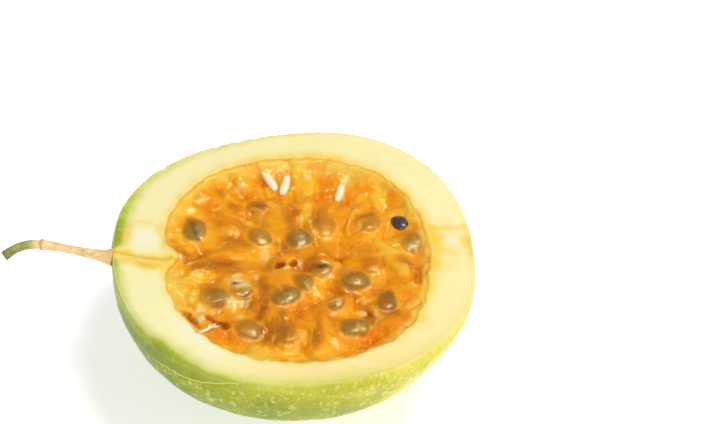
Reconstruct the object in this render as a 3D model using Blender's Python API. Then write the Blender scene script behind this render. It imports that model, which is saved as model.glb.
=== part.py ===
"""Half of a cut passion fruit, lying with its cut face up.

It has three pieces: the rind with its thick pale wall, the seed pulp that fills the wall,
and the short bent stalk. Lengths are in metres and +Z is up. The origin is the middle of the
small flat spot that the half rests on. The stalk leaves at -X, the blossom end is at +X, and
the side that is seen from the front faces -Y.
"""

import random
from math import asin, atan2, cos, exp, hypot, pi, radians, sin

import bmesh
import bpy
from mathutils import Matrix, Vector

MM = 0.001

# Cut face, seen from above and measured from its middle
STALK_REACH = 38.3 * MM
BLOSSOM_REACH = 36.9 * MM
HALF_WIDTH = 34.7 * MM
RIM_SQUARENESS = 2.48  # 2 would be an ellipse
RIM_LOBES = ((3, -0.66 * MM, 0.12 * MM), (4, 0.65 * MM, -0.35 * MM))  # order, cosine, sine
RIM_ROUNDING = 0.7 * MM

# Body below the cut face
BODY_DEPTH = 34.7 * MM  # of the round body, before its lowest millimetre is made flat
REST_FLAT = 1.0 * MM
CUT_HEIGHT = BODY_DEPTH - REST_FLAT
BELLY_EVEN = -0.026  # how far the sides swell out between rim and bottom, as a share
BELLY_STALK = 0.065  # more towards the stalk, less towards the blossom end
BELLY_BACK = -0.016

# Hollow inside the pale wall
CAVITY_RADIUS = 28.6 * MM
CAVITY_LOBES = ((1, -0.8 * MM, -0.5 * MM), (3, -0.2 * MM, 0.1 * MM), (4, -0.6 * MM, -0.1 * MM))
CAVITY_DEPTH = 27.3 * MM
CAVITY_ROUNDNESS = 2.3  # 2 would be an ellipse, seen from the side
CAVITY_EDGE = 0.8 * MM  # rounding of the edge between cut face and hollow
FUNNEL_REACH = 3.2 * MM  # wedge of pale flesh that carries the stalk's strand to the pulp
FUNNEL_HALF_WIDTH = 3.4 * MM
FUNNEL_DEPTH = 4.0 * MM
WALL_TOP_TURN = radians(2)  # rows of the inside wall, as turns down from the cut face
WALL_LOW_TURN = radians(83)

# Pulp: a core that fills the hollow, with seed sacs piled on its top
FIT_GAP = 0.5 * MM
CORE_EDGE_DROP = 5.0 * MM  # from the cut face down to the core's top, at the wall
CORE_MIDDLE_DROP = 3.4 * MM
HEAP_DROP = 1.3 * MM  # from the cut face down to the tops of the sacs
HEAP_BACK_DROP = 3.4 * MM  # the same along the back wall, where the heap has sunk
BACK_STARTS = 9 * MM
BACK_ENDS = 21 * MM
SAC_HALF_SIZE = (4.9 * MM, 3.7 * MM, 3.2 * MM)  # half length, half width, half height
SAC_WALL_GAP = 0.35 * MM  # how much further than the core the sacs stand off the wall
SEED_HALF_SIZE = (2.9 * MM, 2.1 * MM, 1.3 * MM)
SEED_SHOWS = 0.45 * MM  # how far a seed lifts the skin of its sac
FILL_SACS = 38
FILL_TRIES = 40
FILL_SEED = 11
FILL_UNEVEN = 0.13
FILL_STRAY = 0.35  # how far the sacs stray from pointing at the axis, in radians
FILL_WALL_GAP = 3 * MM
FILL_PITCH = radians(22)  # tilt of the sacs that lean on the wall
LEAN_STARTS = 0.6  # of the way out to the wall

# Seeds that show on top: x and y from the middle in mm, the turn of the long side in degrees
# and the size against the usual seed
SHOWN_SEEDS = (
    (-22.0, 8.5, 125, 1.05), (-8.5, 15.0, 145, 0.8), (-8.5, 6.5, 120, 0.95), (-0.5, 6.0, 118, 1.05),
    (5.5, 9.0, 75, 1.0), (15.0, 10.0, 45, 1.0), (24.0, 4.5, 65, 1.1), (-18.0, -10.5, 5, 1.0),
    (-12.5, -8.5, 25, 1.1), (-3.5, -10.0, 10, 1.15), (0.5, -6.5, 135, 0.85), (4.5, -2.5, 30, 0.9),
    (11.5, -6.0, 5, 1.05), (7.0, -12.0, 20, 0.8), (10.5, -18.5, 5, 1.1), (18.0, -11.5, 78, 0.95),
    (21.5, -2.0, 110, 0.95), (-11.5, -19.0, 145, 1.0), (-3.0, -20.5, 25, 0.95),
)
BARE_SEED = (21.0, 11.0, 148)

# Undeveloped white ovules along the back wall: outer and inner end, x and y in mm
PEGS = (((-7.5, 25.5), (-4.8, 20.5)), ((-1.2, 25.4), (-3.6, 19.2)), ((10.3, 23.4), (8.8, 18.0)))
PEG_RADIUS = 0.75 * MM
PEG_SINK = 0.6 * MM  # of its middle below the tops of the sacs that it lies between
PEG_PITCH = radians(8)

# Middle line of the stalk from its foot to its cut tip: x, y, height above the cut face and
# radius, in mm. The fifth point is the ring where brown wood turns to green.
STALK_ROUTE = (
    (-40.15, 0.5, -1.0, 1.65), (-41.5, 0.7, -0.9, 1.30), (-44.5, 1.2, -0.6, 1.05),
    (-50.5, 2.4, -0.1, 0.92), (-54.2, 3.1, 0.0, 1.10), (-55.6, 3.2, 0.0, 0.98),
    (-57.6, 3.2, -0.2, 0.93), (-60.0, 2.8, -0.9, 0.96), (-62.3, 1.7, -2.0, 1.05),
)

# Fineness of the meshes
AZIMUTHS = 72
SKIN_ROWS = 9
FACE_ROWS = 3
WALL_ROWS = 7
CORE_ROWS = 5
SEED_SEGMENTS = 7
SEED_RINGS = 4
SMOOTH_UP_TO = radians(50)

# Colours and roughness
RIND_GREEN = (0.36, 0.47, 0.06)
PULP_ORANGE = (0.89, 0.36, 0.02)
STALK_TAN = (0.70, 0.46, 0.19)
RIND_ROUGHNESS = 0.35
PULP_ROUGHNESS = 0.2
STALK_ROUGHNESS = 0.6


def smooth_step(value, start, end):
    """0 below start, 1 above end, and a smooth rise between them."""
    share = min(max((value - start) / (end - start), 0.0), 1.0)
    return share * share * (3 - 2 * share)


def even_steps(first, last, count):
    """count + 1 values from first to last."""
    return [first + (last - first) * step / count for step in range(count + 1)]


def lobes(angle, terms):
    """Sum of the waves that make a round outline uneven."""
    return sum(c * cos(order * angle) + s * sin(order * angle) for order, c, s in terms)


def rim_radius(angle):
    """Distance from the axis to the skin at the cut face."""
    reach = STALK_REACH if cos(angle) < 0 else BLOSSOM_REACH
    along = abs(cos(angle)) / reach
    across = abs(sin(angle)) / HALF_WIDTH
    oval = (along**RIM_SQUARENESS + across**RIM_SQUARENESS) ** (-1 / RIM_SQUARENESS)
    return oval + lobes(angle, RIM_LOBES)


def skin_point(angle, dip):
    """Radius and height on the skin: dip is 0 at the cut face and a right angle at the lowest point."""
    swell = BELLY_EVEN - BELLY_STALK * cos(angle) + BELLY_BACK * sin(angle)
    radius = rim_radius(angle) * cos(dip) * (1 + swell * sin(2 * dip))
    return radius, CUT_HEIGHT - BODY_DEPTH * sin(dip)


def cavity_radius(angle, drop):
    """Distance from the axis to the inside of the wall, at a drop below the cut face."""
    share = min(max(drop / CAVITY_DEPTH, 0.0), 1.0)
    edge = CAVITY_RADIUS + lobes(angle, CAVITY_LOBES)
    side = (angle - pi) * edge / FUNNEL_HALF_WIDTH
    funnel = FUNNEL_REACH * exp(-side * side - (drop / FUNNEL_DEPTH) ** 2)
    return edge * (1 - share**CAVITY_ROUNDNESS) ** (1 / CAVITY_ROUNDNESS) - funnel


def rounded_corner(radius, rounding):
    """Middle point of a corner's rounding, for a level face whose edge is at the radius."""
    inset = rounding * (1 - cos(pi / 4))
    return radius - inset, CUT_HEIGHT - abs(inset)


def rind_profile(angle):
    """Half section of the rind, from the rest spot up the skin, over the rim and down inside."""
    outer = rim_radius(angle)
    inner = cavity_radius(angle, 0)
    rest_dip = asin(CUT_HEIGHT / BODY_DEPTH)
    rim_dip = asin(RIM_ROUNDING / BODY_DEPTH)
    points = [skin_point(angle, dip) for dip in even_steps(rest_dip, rim_dip, SKIN_ROWS)]
    points.append(rounded_corner(outer, RIM_ROUNDING))
    for radius in even_steps(outer - RIM_ROUNDING, inner + CAVITY_EDGE, FACE_ROWS):
        points.append((radius, CUT_HEIGHT))
    points.append(rounded_corner(inner, -CAVITY_EDGE))
    for turn in even_steps(WALL_TOP_TURN, WALL_LOW_TURN, WALL_ROWS):
        drop = CAVITY_DEPTH * sin(turn)
        points.append((cavity_radius(angle, drop), CUT_HEIGHT - drop))
    return points


def core_profile(angle):
    """Half section of the pulp's core, from low on the wall up to its edge and in across its top."""
    depth = CAVITY_DEPTH - FIT_GAP
    points = []
    for turn in even_steps(WALL_LOW_TURN, asin(CORE_EDGE_DROP / depth), WALL_ROWS):
        drop = depth * sin(turn)
        radius = cavity_radius(angle, drop * CAVITY_DEPTH / depth) - FIT_GAP
        points.append((radius, CUT_HEIGHT - drop))
    edge = points[-1][0]
    for row in range(1, CORE_ROWS):
        share = 1 - row / CORE_ROWS
        drop = CORE_MIDDLE_DROP + (CORE_EDGE_DROP - CORE_MIDDLE_DROP) * share * share
        points.append((edge * share, CUT_HEIGHT - drop))
    return points


def turned_mesh(name, profile, endings):
    """Closed mesh of an upright half section that changes with the angle round the axis.

    profile(angle) is a list of (radius, height). endings says how its first and its last ring
    are closed: None by one level face, a height by a fan to a pole at that height.
    """
    angles = [2 * pi * step / AZIMUTHS for step in range(AZIMUTHS)]
    work = bmesh.new()
    columns = []
    for angle in angles:
        column = [work.verts.new((r * cos(angle), r * sin(angle), z)) for r, z in profile(angle)]
        columns.append(column)
    for here, after in zip(columns, columns[1:] + columns[:1]):
        for row in range(len(here) - 1):
            work.faces.new((here[row], after[row], after[row + 1], here[row + 1]))
    for row, pole_height in zip((0, -1), endings):
        ring = [column[row] for column in columns]
        if pole_height is None:
            work.faces.new(ring)
            continue
        pole = work.verts.new((0, 0, pole_height))
        for here, after in zip(ring, ring[1:] + ring[:1]):
            work.faces.new((here, after, pole))
    bmesh.ops.recalc_face_normals(work, faces=work.faces)
    mesh = bpy.data.meshes.new(name)
    work.to_mesh(mesh)
    work.free()
    return mesh


def heap_height(y):
    """Height of the sacs' tops: the heap sinks towards the back wall."""
    sunk = smooth_step(y, BACK_STARTS, BACK_ENDS)
    return CUT_HEIGHT - HEAP_DROP - (HEAP_BACK_DROP - HEAP_DROP) * sunk


def shown_sacs():
    """Sacs round the seeds that show."""
    sacs = []
    for x, y, turn, size in SHOWN_SEEDS:
        sacs.append({"x": x * MM, "y": y * MM, "turn": radians(turn), "pitch": 0.0, "size": size})
    return sacs


def fill_sacs(shown):
    """Sacs between the shown ones: each takes the emptiest of several random places.

    They point at the axis, as sacs do on their threads, and those at the wall lean up on it.
    """
    draw = random.Random(FILL_SEED)
    sacs = []
    for _ in range(FILL_SACS):
        most_room = 0.0
        for _ in range(FILL_TRIES):
            angle = draw.uniform(0, 2 * pi)
            share = draw.random() ** 0.5
            radius = share * (cavity_radius(angle, HEAP_BACK_DROP) - FILL_WALL_GAP)
            x = radius * cos(angle)
            y = radius * sin(angle)
            room = min(hypot(x - sac["x"], y - sac["y"]) for sac in shown + sacs)
            if room > most_room:
                most_room = room
                lean = FILL_PITCH * smooth_step(share, LEAN_STARTS, 1)
                best = {"x": x, "y": y, "turn": angle, "pitch": lean}
        best["turn"] += draw.gauss(0, FILL_STRAY)
        best["size"] = 1 + draw.uniform(-FILL_UNEVEN, FILL_UNEVEN)
        sacs.append(best)
    return sacs


def keep_off_wall(work):
    """Pulls the points of a piece of pulp in from the wall, a little further than the core."""
    for vert in work.verts:
        angle = atan2(vert.co.y, vert.co.x) % (2 * pi)
        reach = hypot(vert.co.x, vert.co.y)
        limit = cavity_radius(angle, CUT_HEIGHT - vert.co.z) - FIT_GAP - SAC_WALL_GAP
        if reach > limit:
            vert.co.x *= limit / reach
            vert.co.y *= limit / reach


def add_blob(name, group, place, half_size, turn, pitch=0.0, coarse=False):
    """Egg-shaped piece of the pulp, put into the collection that gets fused.

    It lies along +X, is lifted by pitch at that end, and is then turned about the upright axis.
    """
    work = bmesh.new()
    if coarse:
        bmesh.ops.create_uvsphere(work, u_segments=SEED_SEGMENTS, v_segments=SEED_RINGS, radius=1.0)
    else:
        bmesh.ops.create_icosphere(work, subdivisions=2, radius=1.0)
    pose = Matrix.Translation(place) @ Matrix.Rotation(turn, 4, "Z") @ Matrix.Rotation(-pitch, 4, "Y")
    bmesh.ops.transform(work, matrix=pose @ Matrix.Diagonal((*half_size, 1.0)), verts=work.verts)
    keep_off_wall(work)
    mesh = bpy.data.meshes.new(name)
    work.to_mesh(mesh)
    work.free()
    group.objects.link(bpy.data.objects.new(name, mesh))


def add_sacs(group):
    """Seed sacs, with a seed under the skin of each one that shows its seed."""
    shown = shown_sacs()
    for number, sac in enumerate(shown + fill_sacs(shown)):
        half_size = Vector(SAC_HALF_SIZE) * sac["size"]
        top = heap_height(sac["y"])
        place = Vector((sac["x"], sac["y"], top - half_size.z))
        add_blob(f"sac_{number:02d}", group, place, half_size, sac["turn"], pitch=sac["pitch"])
        if number < len(shown):
            half_size = Vector(SEED_HALF_SIZE) * sac["size"]
            place.z = top + SEED_SHOWS - half_size.z
            add_blob(f"seed_{number:02d}", group, place, half_size, sac["turn"], coarse=True)


def add_bare_seed(group):
    """Seed that has slipped out of its sac."""
    x, y, turn = BARE_SEED
    place = Vector((x * MM, y * MM, heap_height(y * MM) + SEED_SHOWS))
    add_blob("seed_bare", group, place, SEED_HALF_SIZE, radians(turn), coarse=True)


def add_pegs(group):
    """White ovules that never grew a sac, lying on the sacs with their outer ends up."""
    for number, (outer, inner) in enumerate(PEGS):
        along = (Vector(outer) - Vector(inner)) * MM
        middle = (Vector(outer) + Vector(inner)) / 2 * MM
        place = Vector((*middle, heap_height(middle.y) - PEG_SINK))
        half_size = (along.length / 2, PEG_RADIUS, PEG_RADIUS)
        turn = atan2(along.y, along.x)
        add_blob(f"peg_{number}", group, place, half_size, turn, pitch=PEG_PITCH, coarse=True)


def fuse(piece, group):
    """Joins a collection's objects to an object, and removes the collection."""
    union = piece.modifiers.new("fuse", "BOOLEAN")
    union.operation = "UNION"
    union.operand_type = "COLLECTION"
    union.collection = group
    union.solver = "EXACT"
    bpy.context.view_layer.update()
    graph = bpy.context.evaluated_depsgraph_get()
    fused = bpy.data.meshes.new_from_object(piece.evaluated_get(graph))
    piece.modifiers.clear()
    piece.data = fused
    for part in list(group.objects):
        bpy.data.objects.remove(part)
    bpy.data.collections.remove(group)


def keep_main_body(piece):
    """Deletes loose scraps and the walls of sealed hollows, which leaves one closed body."""
    work = bmesh.new()
    work.from_mesh(piece.data)
    left = set(work.faces)
    bodies = []
    while left:
        body = set()
        front = [left.pop()]
        while front:
            face = front.pop()
            body.add(face)
            near = {other for edge in face.edges for other in edge.link_faces} & left
            left -= near
            front.extend(near)
        bodies.append(body)
    main_body = max(bodies, key=len)
    scraps = [face for body in bodies if body is not main_body for face in body]
    bmesh.ops.delete(work, geom=scraps, context="FACES")
    work.to_mesh(piece.data)
    work.free()


def paint(piece, name, colour, roughness):
    """Gives an object a material of its own."""
    material = bpy.data.materials.new(name)
    material.use_nodes = True
    shader = material.node_tree.nodes["Principled BSDF"]
    shader.inputs["Base Color"].default_value = (*colour, 1.0)
    shader.inputs["Roughness"].default_value = roughness
    shader.inputs["Metallic"].default_value = 0.0
    piece.data.materials.clear()
    piece.data.materials.append(material)


def add_rind():
    """Rind: green skin and pale flesh, hollow inside, on its flat rest spot."""
    mesh = turned_mesh("rind_shell", rind_profile, (None, CUT_HEIGHT - CAVITY_DEPTH))
    rind = bpy.data.objects.new("rind_shell", mesh)
    bpy.context.scene.collection.objects.link(rind)
    mesh.shade_smooth()
    mesh.set_sharp_from_angle(angle=SMOOTH_UP_TO)
    paint(rind, "rind", RIND_GREEN, RIND_ROUGHNESS)


def add_pulp():
    """Pulp: the core with every piece of the heap fused on."""
    core_floor = CUT_HEIGHT - CAVITY_DEPTH + FIT_GAP
    mesh = turned_mesh("seed_pulp", core_profile, (core_floor, CUT_HEIGHT - CORE_MIDDLE_DROP))
    pulp = bpy.data.objects.new("seed_pulp", mesh)
    bpy.context.scene.collection.objects.link(pulp)
    group = bpy.data.collections.new("heap")
    bpy.context.scene.collection.children.link(group)
    add_sacs(group)
    add_bare_seed(group)
    add_pegs(group)
    fuse(pulp, group)
    keep_main_body(pulp)
    pulp.data.shade_smooth()
    pulp.data.set_sharp_from_angle(angle=SMOOTH_UP_TO)
    paint(pulp, "pulp", PULP_ORANGE, PULP_ROUGHNESS)


def add_stalk():
    """Stalk: a bent stem with a flared foot, a ring at its joint and a flat cut tip."""
    curve = bpy.data.curves.new("stalk", "CURVE")
    curve.dimensions = "3D"
    curve.bevel_depth = MM
    curve.bevel_resolution = 3
    curve.use_fill_caps = True
    curve.resolution_u = 3
    spline = curve.splines.new("BEZIER")
    spline.bezier_points.add(len(STALK_ROUTE) - 1)
    for point, (x, y, rise, radius) in zip(spline.bezier_points, STALK_ROUTE):
        point.co = (x * MM, y * MM, CUT_HEIGHT + rise * MM)
        point.handle_left_type = "AUTO"
        point.handle_right_type = "AUTO"
        point.radius = radius
    stalk = bpy.data.objects.new("stalk", curve)
    bpy.context.scene.collection.objects.link(stalk)
    paint(stalk, "stalk", STALK_TAN, STALK_ROUGHNESS)


def main():
    for thing in list(bpy.data.objects):
        bpy.data.objects.remove(thing)
    add_rind()
    add_pulp()
    add_stalk()


main()
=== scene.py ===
import itertools
import random
from math import asin, cos, hypot, pi, radians, sin
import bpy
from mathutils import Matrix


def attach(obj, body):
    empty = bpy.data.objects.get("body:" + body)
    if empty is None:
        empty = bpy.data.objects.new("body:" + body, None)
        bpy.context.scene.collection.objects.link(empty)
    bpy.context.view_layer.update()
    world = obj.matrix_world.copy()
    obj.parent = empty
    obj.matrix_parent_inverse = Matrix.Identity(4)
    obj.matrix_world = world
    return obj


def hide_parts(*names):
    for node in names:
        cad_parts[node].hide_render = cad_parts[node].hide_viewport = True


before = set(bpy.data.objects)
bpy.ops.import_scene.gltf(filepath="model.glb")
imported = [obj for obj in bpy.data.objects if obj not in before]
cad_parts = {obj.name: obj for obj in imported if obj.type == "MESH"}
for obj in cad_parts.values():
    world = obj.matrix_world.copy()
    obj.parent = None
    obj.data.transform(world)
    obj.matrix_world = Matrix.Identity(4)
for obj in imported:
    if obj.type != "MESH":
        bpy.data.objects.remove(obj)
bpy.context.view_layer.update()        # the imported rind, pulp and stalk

from types import SimpleNamespace

import bpy
import numpy as np
from mathutils import Matrix, Vector

# Half of a cut passion fruit. All lengths below are in mm, measured from the middle of the cut
# face, with z up out of the cut; putMesh turns them into metres in the frame.

mm = 0.001

# The cut face and the round body below it, as in the solid
rim = {
    "stalkReach": 38.3,
    "blossomReach": 36.9,
    "halfWidth": 34.7,
    "squareness": 2.48,
    "lobes": ((3, -0.66, 0.12), (4, 0.65, -0.35)),  # order, cosine, sine
    "meanRadius": 35.0,
}
belly = {
    "depth": 34.7,
    "restFlat": 1.0,
    "even": -0.026,
    "stalk": 0.065,
    "back": -0.016,
}
hollow = {
    "radius": 28.6,
    "lobes": ((1, -0.8, -0.5), (3, -0.2, 0.1), (4, -0.6, -0.1)),
    "depth": 27.3,
    "lowest": 0.985,  # share of the depth where its side ends in the pole
    "roundness": 2.3,
    "edge": 0.8,
    "funnelReach": 3.2,
    "funnelHalfWidth": 3.4,
    "funnelDepth": 4.0,
    "ragged": ((0.5, 4.0, 71), (0.3, 1.5, 72)),  # noise: strength, cell, seed
    "raggedDepth": 6.0,
    "raggedStretch": 0.6,
}
cutHeight = belly["depth"] - belly["restFlat"]

# Where the camera of the photo stood
view = {
    "elevation": 49.532,
    "azimuth": -3.766,
    "roll": 2.497,
    "distance": 600.0,
    "lens": 142.18,
    "aimRight": 12.53,  # the picture's middle, from the middle of the cut face
    "aimUp": 8.94,
}

noiseMask = 1023  # the noise picks from one slope more than this, a power of two
noiseScale = 1.7  # brings the noise to about -1 to 1


def smoothStep(value, start, end):  # 0 up to start, 1 from end on, a smooth rise between
    share = np.clip((value - start) / (end - start), 0, 1)
    return share * share * (3 - 2 * share)


def between(value, rise, fall):  # smooth steps up and down again, each given by where it is 0 and 1
    return smoothStep(value, *rise) * smoothStep(value, *fall)


def bell(distance, width):  # 1 in the middle, fading to a third at the width
    return np.exp(-(distance / width) ** 2)


def asPoints(*numbers):  # numbers whose shapes fit each other, such as x, y and z, as one array of points
    return np.stack(np.broadcast_arrays(*numbers), axis=-1)


def turned(x, y, turn):  # the distance along a direction and the one across it
    return x * cos(turn) + y * sin(turn), y * cos(turn) - x * sin(turn)


def aroundTable(angle, table):  # straight lines between (degrees, value) points, closed round the circle
    degreesAt, values = np.array(table, float).T
    return np.interp(np.degrees(angle) % 360, degreesAt, values, period=360)


def noise(points, cell, seed):
    # Gradient noise: each corner of a lattice has a random slope, and the slopes' heights are
    # blended across the cell by a smooth curve
    draw = np.random.default_rng(seed)
    order = draw.permutation(noiseMask + 1)
    slopes = draw.normal(size=(noiseMask + 1, 3))
    slopes /= np.linalg.norm(slopes, axis=1, keepdims=True)
    place = points / cell
    corner = np.floor(place).astype(np.int64)
    inside = place - corner
    fade = inside**3 * (inside * (inside * 6 - 15) + 10)
    total = np.zeros(points.shape[:-1])
    for step in itertools.product((0, 1), repeat=3):
        x, y, z = np.moveaxis(corner + step, -1, 0)
        key = order[(order[(order[x & noiseMask] + y) & noiseMask] + z) & noiseMask]
        share = np.prod(np.where(step, fade, 1 - fade), axis=-1)
        total += share * np.sum(slopes[key] * (inside - step), axis=-1)
    return total * noiseScale


def noiseSum(points, layers):  # layers of strength, cell and seed
    return sum(strength * noise(points, cell, seed) for strength, cell, seed in layers)


def lobes(angle, terms):  # sum of waves round the outline
    return sum(c * np.cos(order * angle) + s * np.sin(order * angle) for order, c, s in terms)


def rimRadius(angle):
    # Rounded oval: (|cos|/reach)^n + (|sin|/half width)^n = 1, plus the waves of its lobes
    reach = np.where(np.cos(angle) < 0, rim["stalkReach"], rim["blossomReach"])
    along = np.abs(np.cos(angle)) / reach
    across = np.abs(np.sin(angle)) / rim["halfWidth"]
    oval = (along ** rim["squareness"] + across ** rim["squareness"]) ** (-1 / rim["squareness"])
    return oval + lobes(angle, rim["lobes"])


def skinRadius(angle, dip):
    # Rim radius times the cosine of the dip, swollen between rim and bottom by sin(2 dip)
    swell = belly["even"] - belly["stalk"] * np.cos(angle) + belly["back"] * np.sin(angle)
    return rimRadius(angle) * np.cos(dip) * (1 + swell * np.sin(2 * dip))


def hollowEdge(angle):
    return hollow["radius"] + lobes(angle, hollow["lobes"])


def bowlRadius(angle, drop):
    # Rounded bowl: edge * (1 - (drop / depth)^n)^(1/n), less a wedge of flesh where the stalk's
    # strand enters
    share = np.clip(drop / hollow["depth"], 0, 1)
    edge = hollowEdge(angle)
    side = (angle % (2 * pi) - pi) * edge / hollow["funnelHalfWidth"]
    funnel = hollow["funnelReach"] * np.exp(-side * side - (drop / hollow["funnelDepth"]) ** 2)
    return edge * (1 - share ** hollow["roundness"]) ** (1 / hollow["roundness"]) - funnel


def hollowRadius(angle, drop):  # the bowl, with a ragged edge that dies away down its wall
    edge = hollowEdge(angle)
    place = asPoints(edge * np.cos(angle), edge * np.sin(angle), -drop * hollow["raggedStretch"])
    fading = np.exp(-drop / hollow["raggedDepth"])
    return bowlRadius(angle, drop) + noiseSum(place, hollow["ragged"]) * fading


def lineDistance(x, y, route):  # how far from a bent line, and how far along it from 0 to 1
    nearest = np.full(np.shape(x), np.inf)
    along = np.zeros(np.shape(x))
    stretches = len(route) - 1
    for number, (start, end) in enumerate(zip(route, route[1:])):
        dx, dy = end[0] - start[0], end[1] - start[1]
        fromX, fromY = x - start[0], y - start[1]
        share = np.clip((fromX * dx + fromY * dy) / (dx * dx + dy * dy), 0, 1)
        distance = np.hypot(fromX - share * dx, fromY - share * dy)
        along = np.where(distance < nearest, (number + share) / stretches, along)
        nearest = np.minimum(nearest, distance)
    return nearest, along


# Meshes

def gridFaces(rows, columns, wrapped):  # four corners of each square, anticlockwise seen from outside
    index = np.arange(rows * columns).reshape(rows, columns)
    if wrapped:
        index = np.hstack([index, index[:, :1]])
    corners = (index[:-1, :-1], index[:-1, 1:], index[1:, 1:], index[1:, :-1])
    return np.stack(corners, axis=-1).reshape(-1, 4)


def closeEnds(grid, poles):
    # A grid whose columns run round it is closed by a fan of triangles to a pole beyond each end
    rows, columns = grid.shape[:2]
    points = np.vstack([grid.reshape(-1, 3), poles])
    faces = gridFaces(rows, columns, True).tolist()
    ring = np.arange(columns)
    after = np.roll(ring, -1)
    first = np.full(columns, rows * columns)
    top = (rows - 1) * columns
    faces += np.stack([first, after, ring], axis=-1).tolist()
    faces += np.stack([first + 1, ring + top, after + top], axis=-1).tolist()
    return points, faces


def putMesh(name, points, faces, material, node=None, values=None):
    mesh = bpy.data.meshes.new(name)
    mesh.from_pydata(((points + (0, 0, cutHeight)) * mm).tolist(), [], faces)
    mesh.shade_smooth()
    for key, numbers in (values or {}).items():
        layer = mesh.attributes.new(key, "FLOAT", "POINT")
        layer.data.foreach_set("value", np.ravel(numbers).astype(np.float32))
    mesh.materials.append(material)
    piece = bpy.data.objects.new(name, mesh)
    bpy.context.scene.collection.objects.link(piece)
    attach(piece, "root")
    if node:
        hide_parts(node)
    print(name, sum(len(face) - 2 for face in faces), "triangles")


def surfaceNormals(grid):  # cross product of the slopes along and round a wrapped grid
    wide = np.concatenate([grid[:, -1:], grid, grid[:, :1]], axis=1)
    around = np.gradient(wide, axis=1)[:, 1:-1]
    normal = np.cross(around, np.gradient(grid, axis=0))
    return normal / np.maximum(np.linalg.norm(normal, axis=-1, keepdims=True), 1e-9)


def smoothRoute(route, count):
    # Catmull-Rom curve: a cubic between two points whose slopes are those of their neighbours
    knots = np.array(route, float)
    knots = np.vstack([2 * knots[0] - knots[1], knots, 2 * knots[-1] - knots[-2]])
    place = np.linspace(0, len(route) - 1, count)
    start = np.minimum(place.astype(int), len(route) - 2)
    t = (place - start)[:, None]
    a, b, c, d = (knots[start + step] for step in range(4))
    square, cube = 2 * a - 5 * b + 4 * c - d, 3 * b - a - 3 * c + d
    return 0.5 * (2 * b + (c - a) * t + square * t**2 + cube * t**3)


def tubeGrid(route, count, sides):
    # A ring of the route's radius (its fourth number) carried along the smooth route, square to it
    path = smoothRoute(route, count)
    centre = path[:, :3]
    ahead = np.gradient(centre, axis=0)
    ahead /= np.linalg.norm(ahead, axis=1, keepdims=True)
    side = np.cross((0, 0, 1), ahead)
    side /= np.linalg.norm(side, axis=1, keepdims=True)
    above = np.cross(ahead, side)
    turn = np.linspace(0, 2 * pi, sides, endpoint=False)[None, :, None]
    ring = np.cos(turn) * side[:, None] + np.sin(turn) * above[:, None]
    return centre[:, None] + path[:, 3][:, None, None] * ring, centre, ring


# Shader maths

def colour(hexText):  # a screen colour such as f9a227 as the light that a shader works with
    parts = [int(hexText[at:at + 2], 16) / 255 for at in (0, 2, 4)]
    light = [part / 12.92 if part <= 0.04045 else ((part + 0.055) / 1.055) ** 2.4 for part in parts]
    return (*light, 1.0)


def fillRamp(ramp, stops):
    while len(ramp.elements) < len(stops):
        ramp.elements.new(1.0)
    for element, (place, hexText) in zip(ramp.elements, stops):
        element.position = place
        element.color = colour(hexText)


class Wire:  # one output of a node; sums on it add Math nodes
    def __init__(self, tree, socket=None):
        self.tree = tree
        self.socket = socket

    def node(self, kind, settings=None, sockets=None, output=0):
        new = self.tree.nodes.new(kind)
        for key, value in (settings or {}).items():
            if key == "stops":
                fillRamp(new.color_ramp, value)
            else:
                setattr(new, key, value)
        for key, value in (sockets or {}).items():
            if isinstance(value, Wire):
                self.tree.links.new(value.socket, new.inputs[key])
            else:
                new.inputs[key].default_value = colour(value) if isinstance(value, str) else value
        return Wire(self.tree, new.outputs[output])

    def maths(self, operation, *values):
        return self.node("ShaderNodeMath", {"operation": operation}, dict(enumerate(values)))

    def __add__(self, other):
        return self.maths("ADD", self, other)

    def __sub__(self, other):
        return self.maths("SUBTRACT", self, other)

    def __rsub__(self, other):
        return self.maths("SUBTRACT", other, self)

    def __mul__(self, other):
        return self.maths("MULTIPLY", self, other)

    __radd__ = __add__
    __rmul__ = __mul__

    def __abs__(self):
        return self.maths("ABSOLUTE", self)

    def clamp(self):
        return self.node("ShaderNodeClamp", None, {0: self, 1: 0.0, 2: 1.0})

    def rise(self, start, end):  # 0 before start, 1 after end, smooth between
        settings = {"interpolation_type": "SMOOTHSTEP"}
        return self.node("ShaderNodeMapRange", settings, {0: self, 1: start, 2: end})

    def mix(self, colourA, colourB):  # colourA where this is 0, colourB where it is 1
        sockets = {0: self, 6: colourA, 7: colourB}
        return self.node("ShaderNodeMix", {"data_type": "RGBA"}, sockets, output=2)

    def ramp(self, stops):
        return self.node("ShaderNodeValToRGB", {"stops": stops}, {0: self})

    def place(self):
        return self.node("ShaderNodeTexCoord", None, None, output=3)

    def layer(self, name):  # what putMesh wrote at each point under this name
        return self.node("ShaderNodeAttribute", {"attribute_name": name}, None, output=2)

    def stretch(self, factors):
        return self.node("ShaderNodeVectorMath", {"operation": "MULTIPLY"}, {0: self, 1: factors})

    def noise(self, cell, detail):  # 0 to 1, with features about a cell (mm) across
        sockets = {"Vector": self, "Scale": 1 / (cell * mm), "Detail": detail}
        return self.node("ShaderNodeTexNoise", None, sockets)

    def cells(self, cell, output):  # 0: distance to the cell's middle, 1: the cell's own random colour
        sockets = {"Vector": self, "Scale": 1 / (cell * mm)}
        return self.node("ShaderNodeTexVoronoi", None, sockets, output)

    def bump(self, distance, strength):  # this wire as a height
        sockets = {"Height": self, "Distance": distance * mm, "Strength": strength}
        return self.node("ShaderNodeBump", None, sockets)


def newMaterial(name, settings):  # a Principled surface with fixed values, and a wire to begin from
    material = bpy.data.materials.new(name)
    material.use_nodes = True
    shader = material.node_tree.nodes["Principled BSDF"]
    for socket, value in settings.items():
        shader.inputs[socket].default_value = value
    return material, Wire(material.node_tree)


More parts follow.
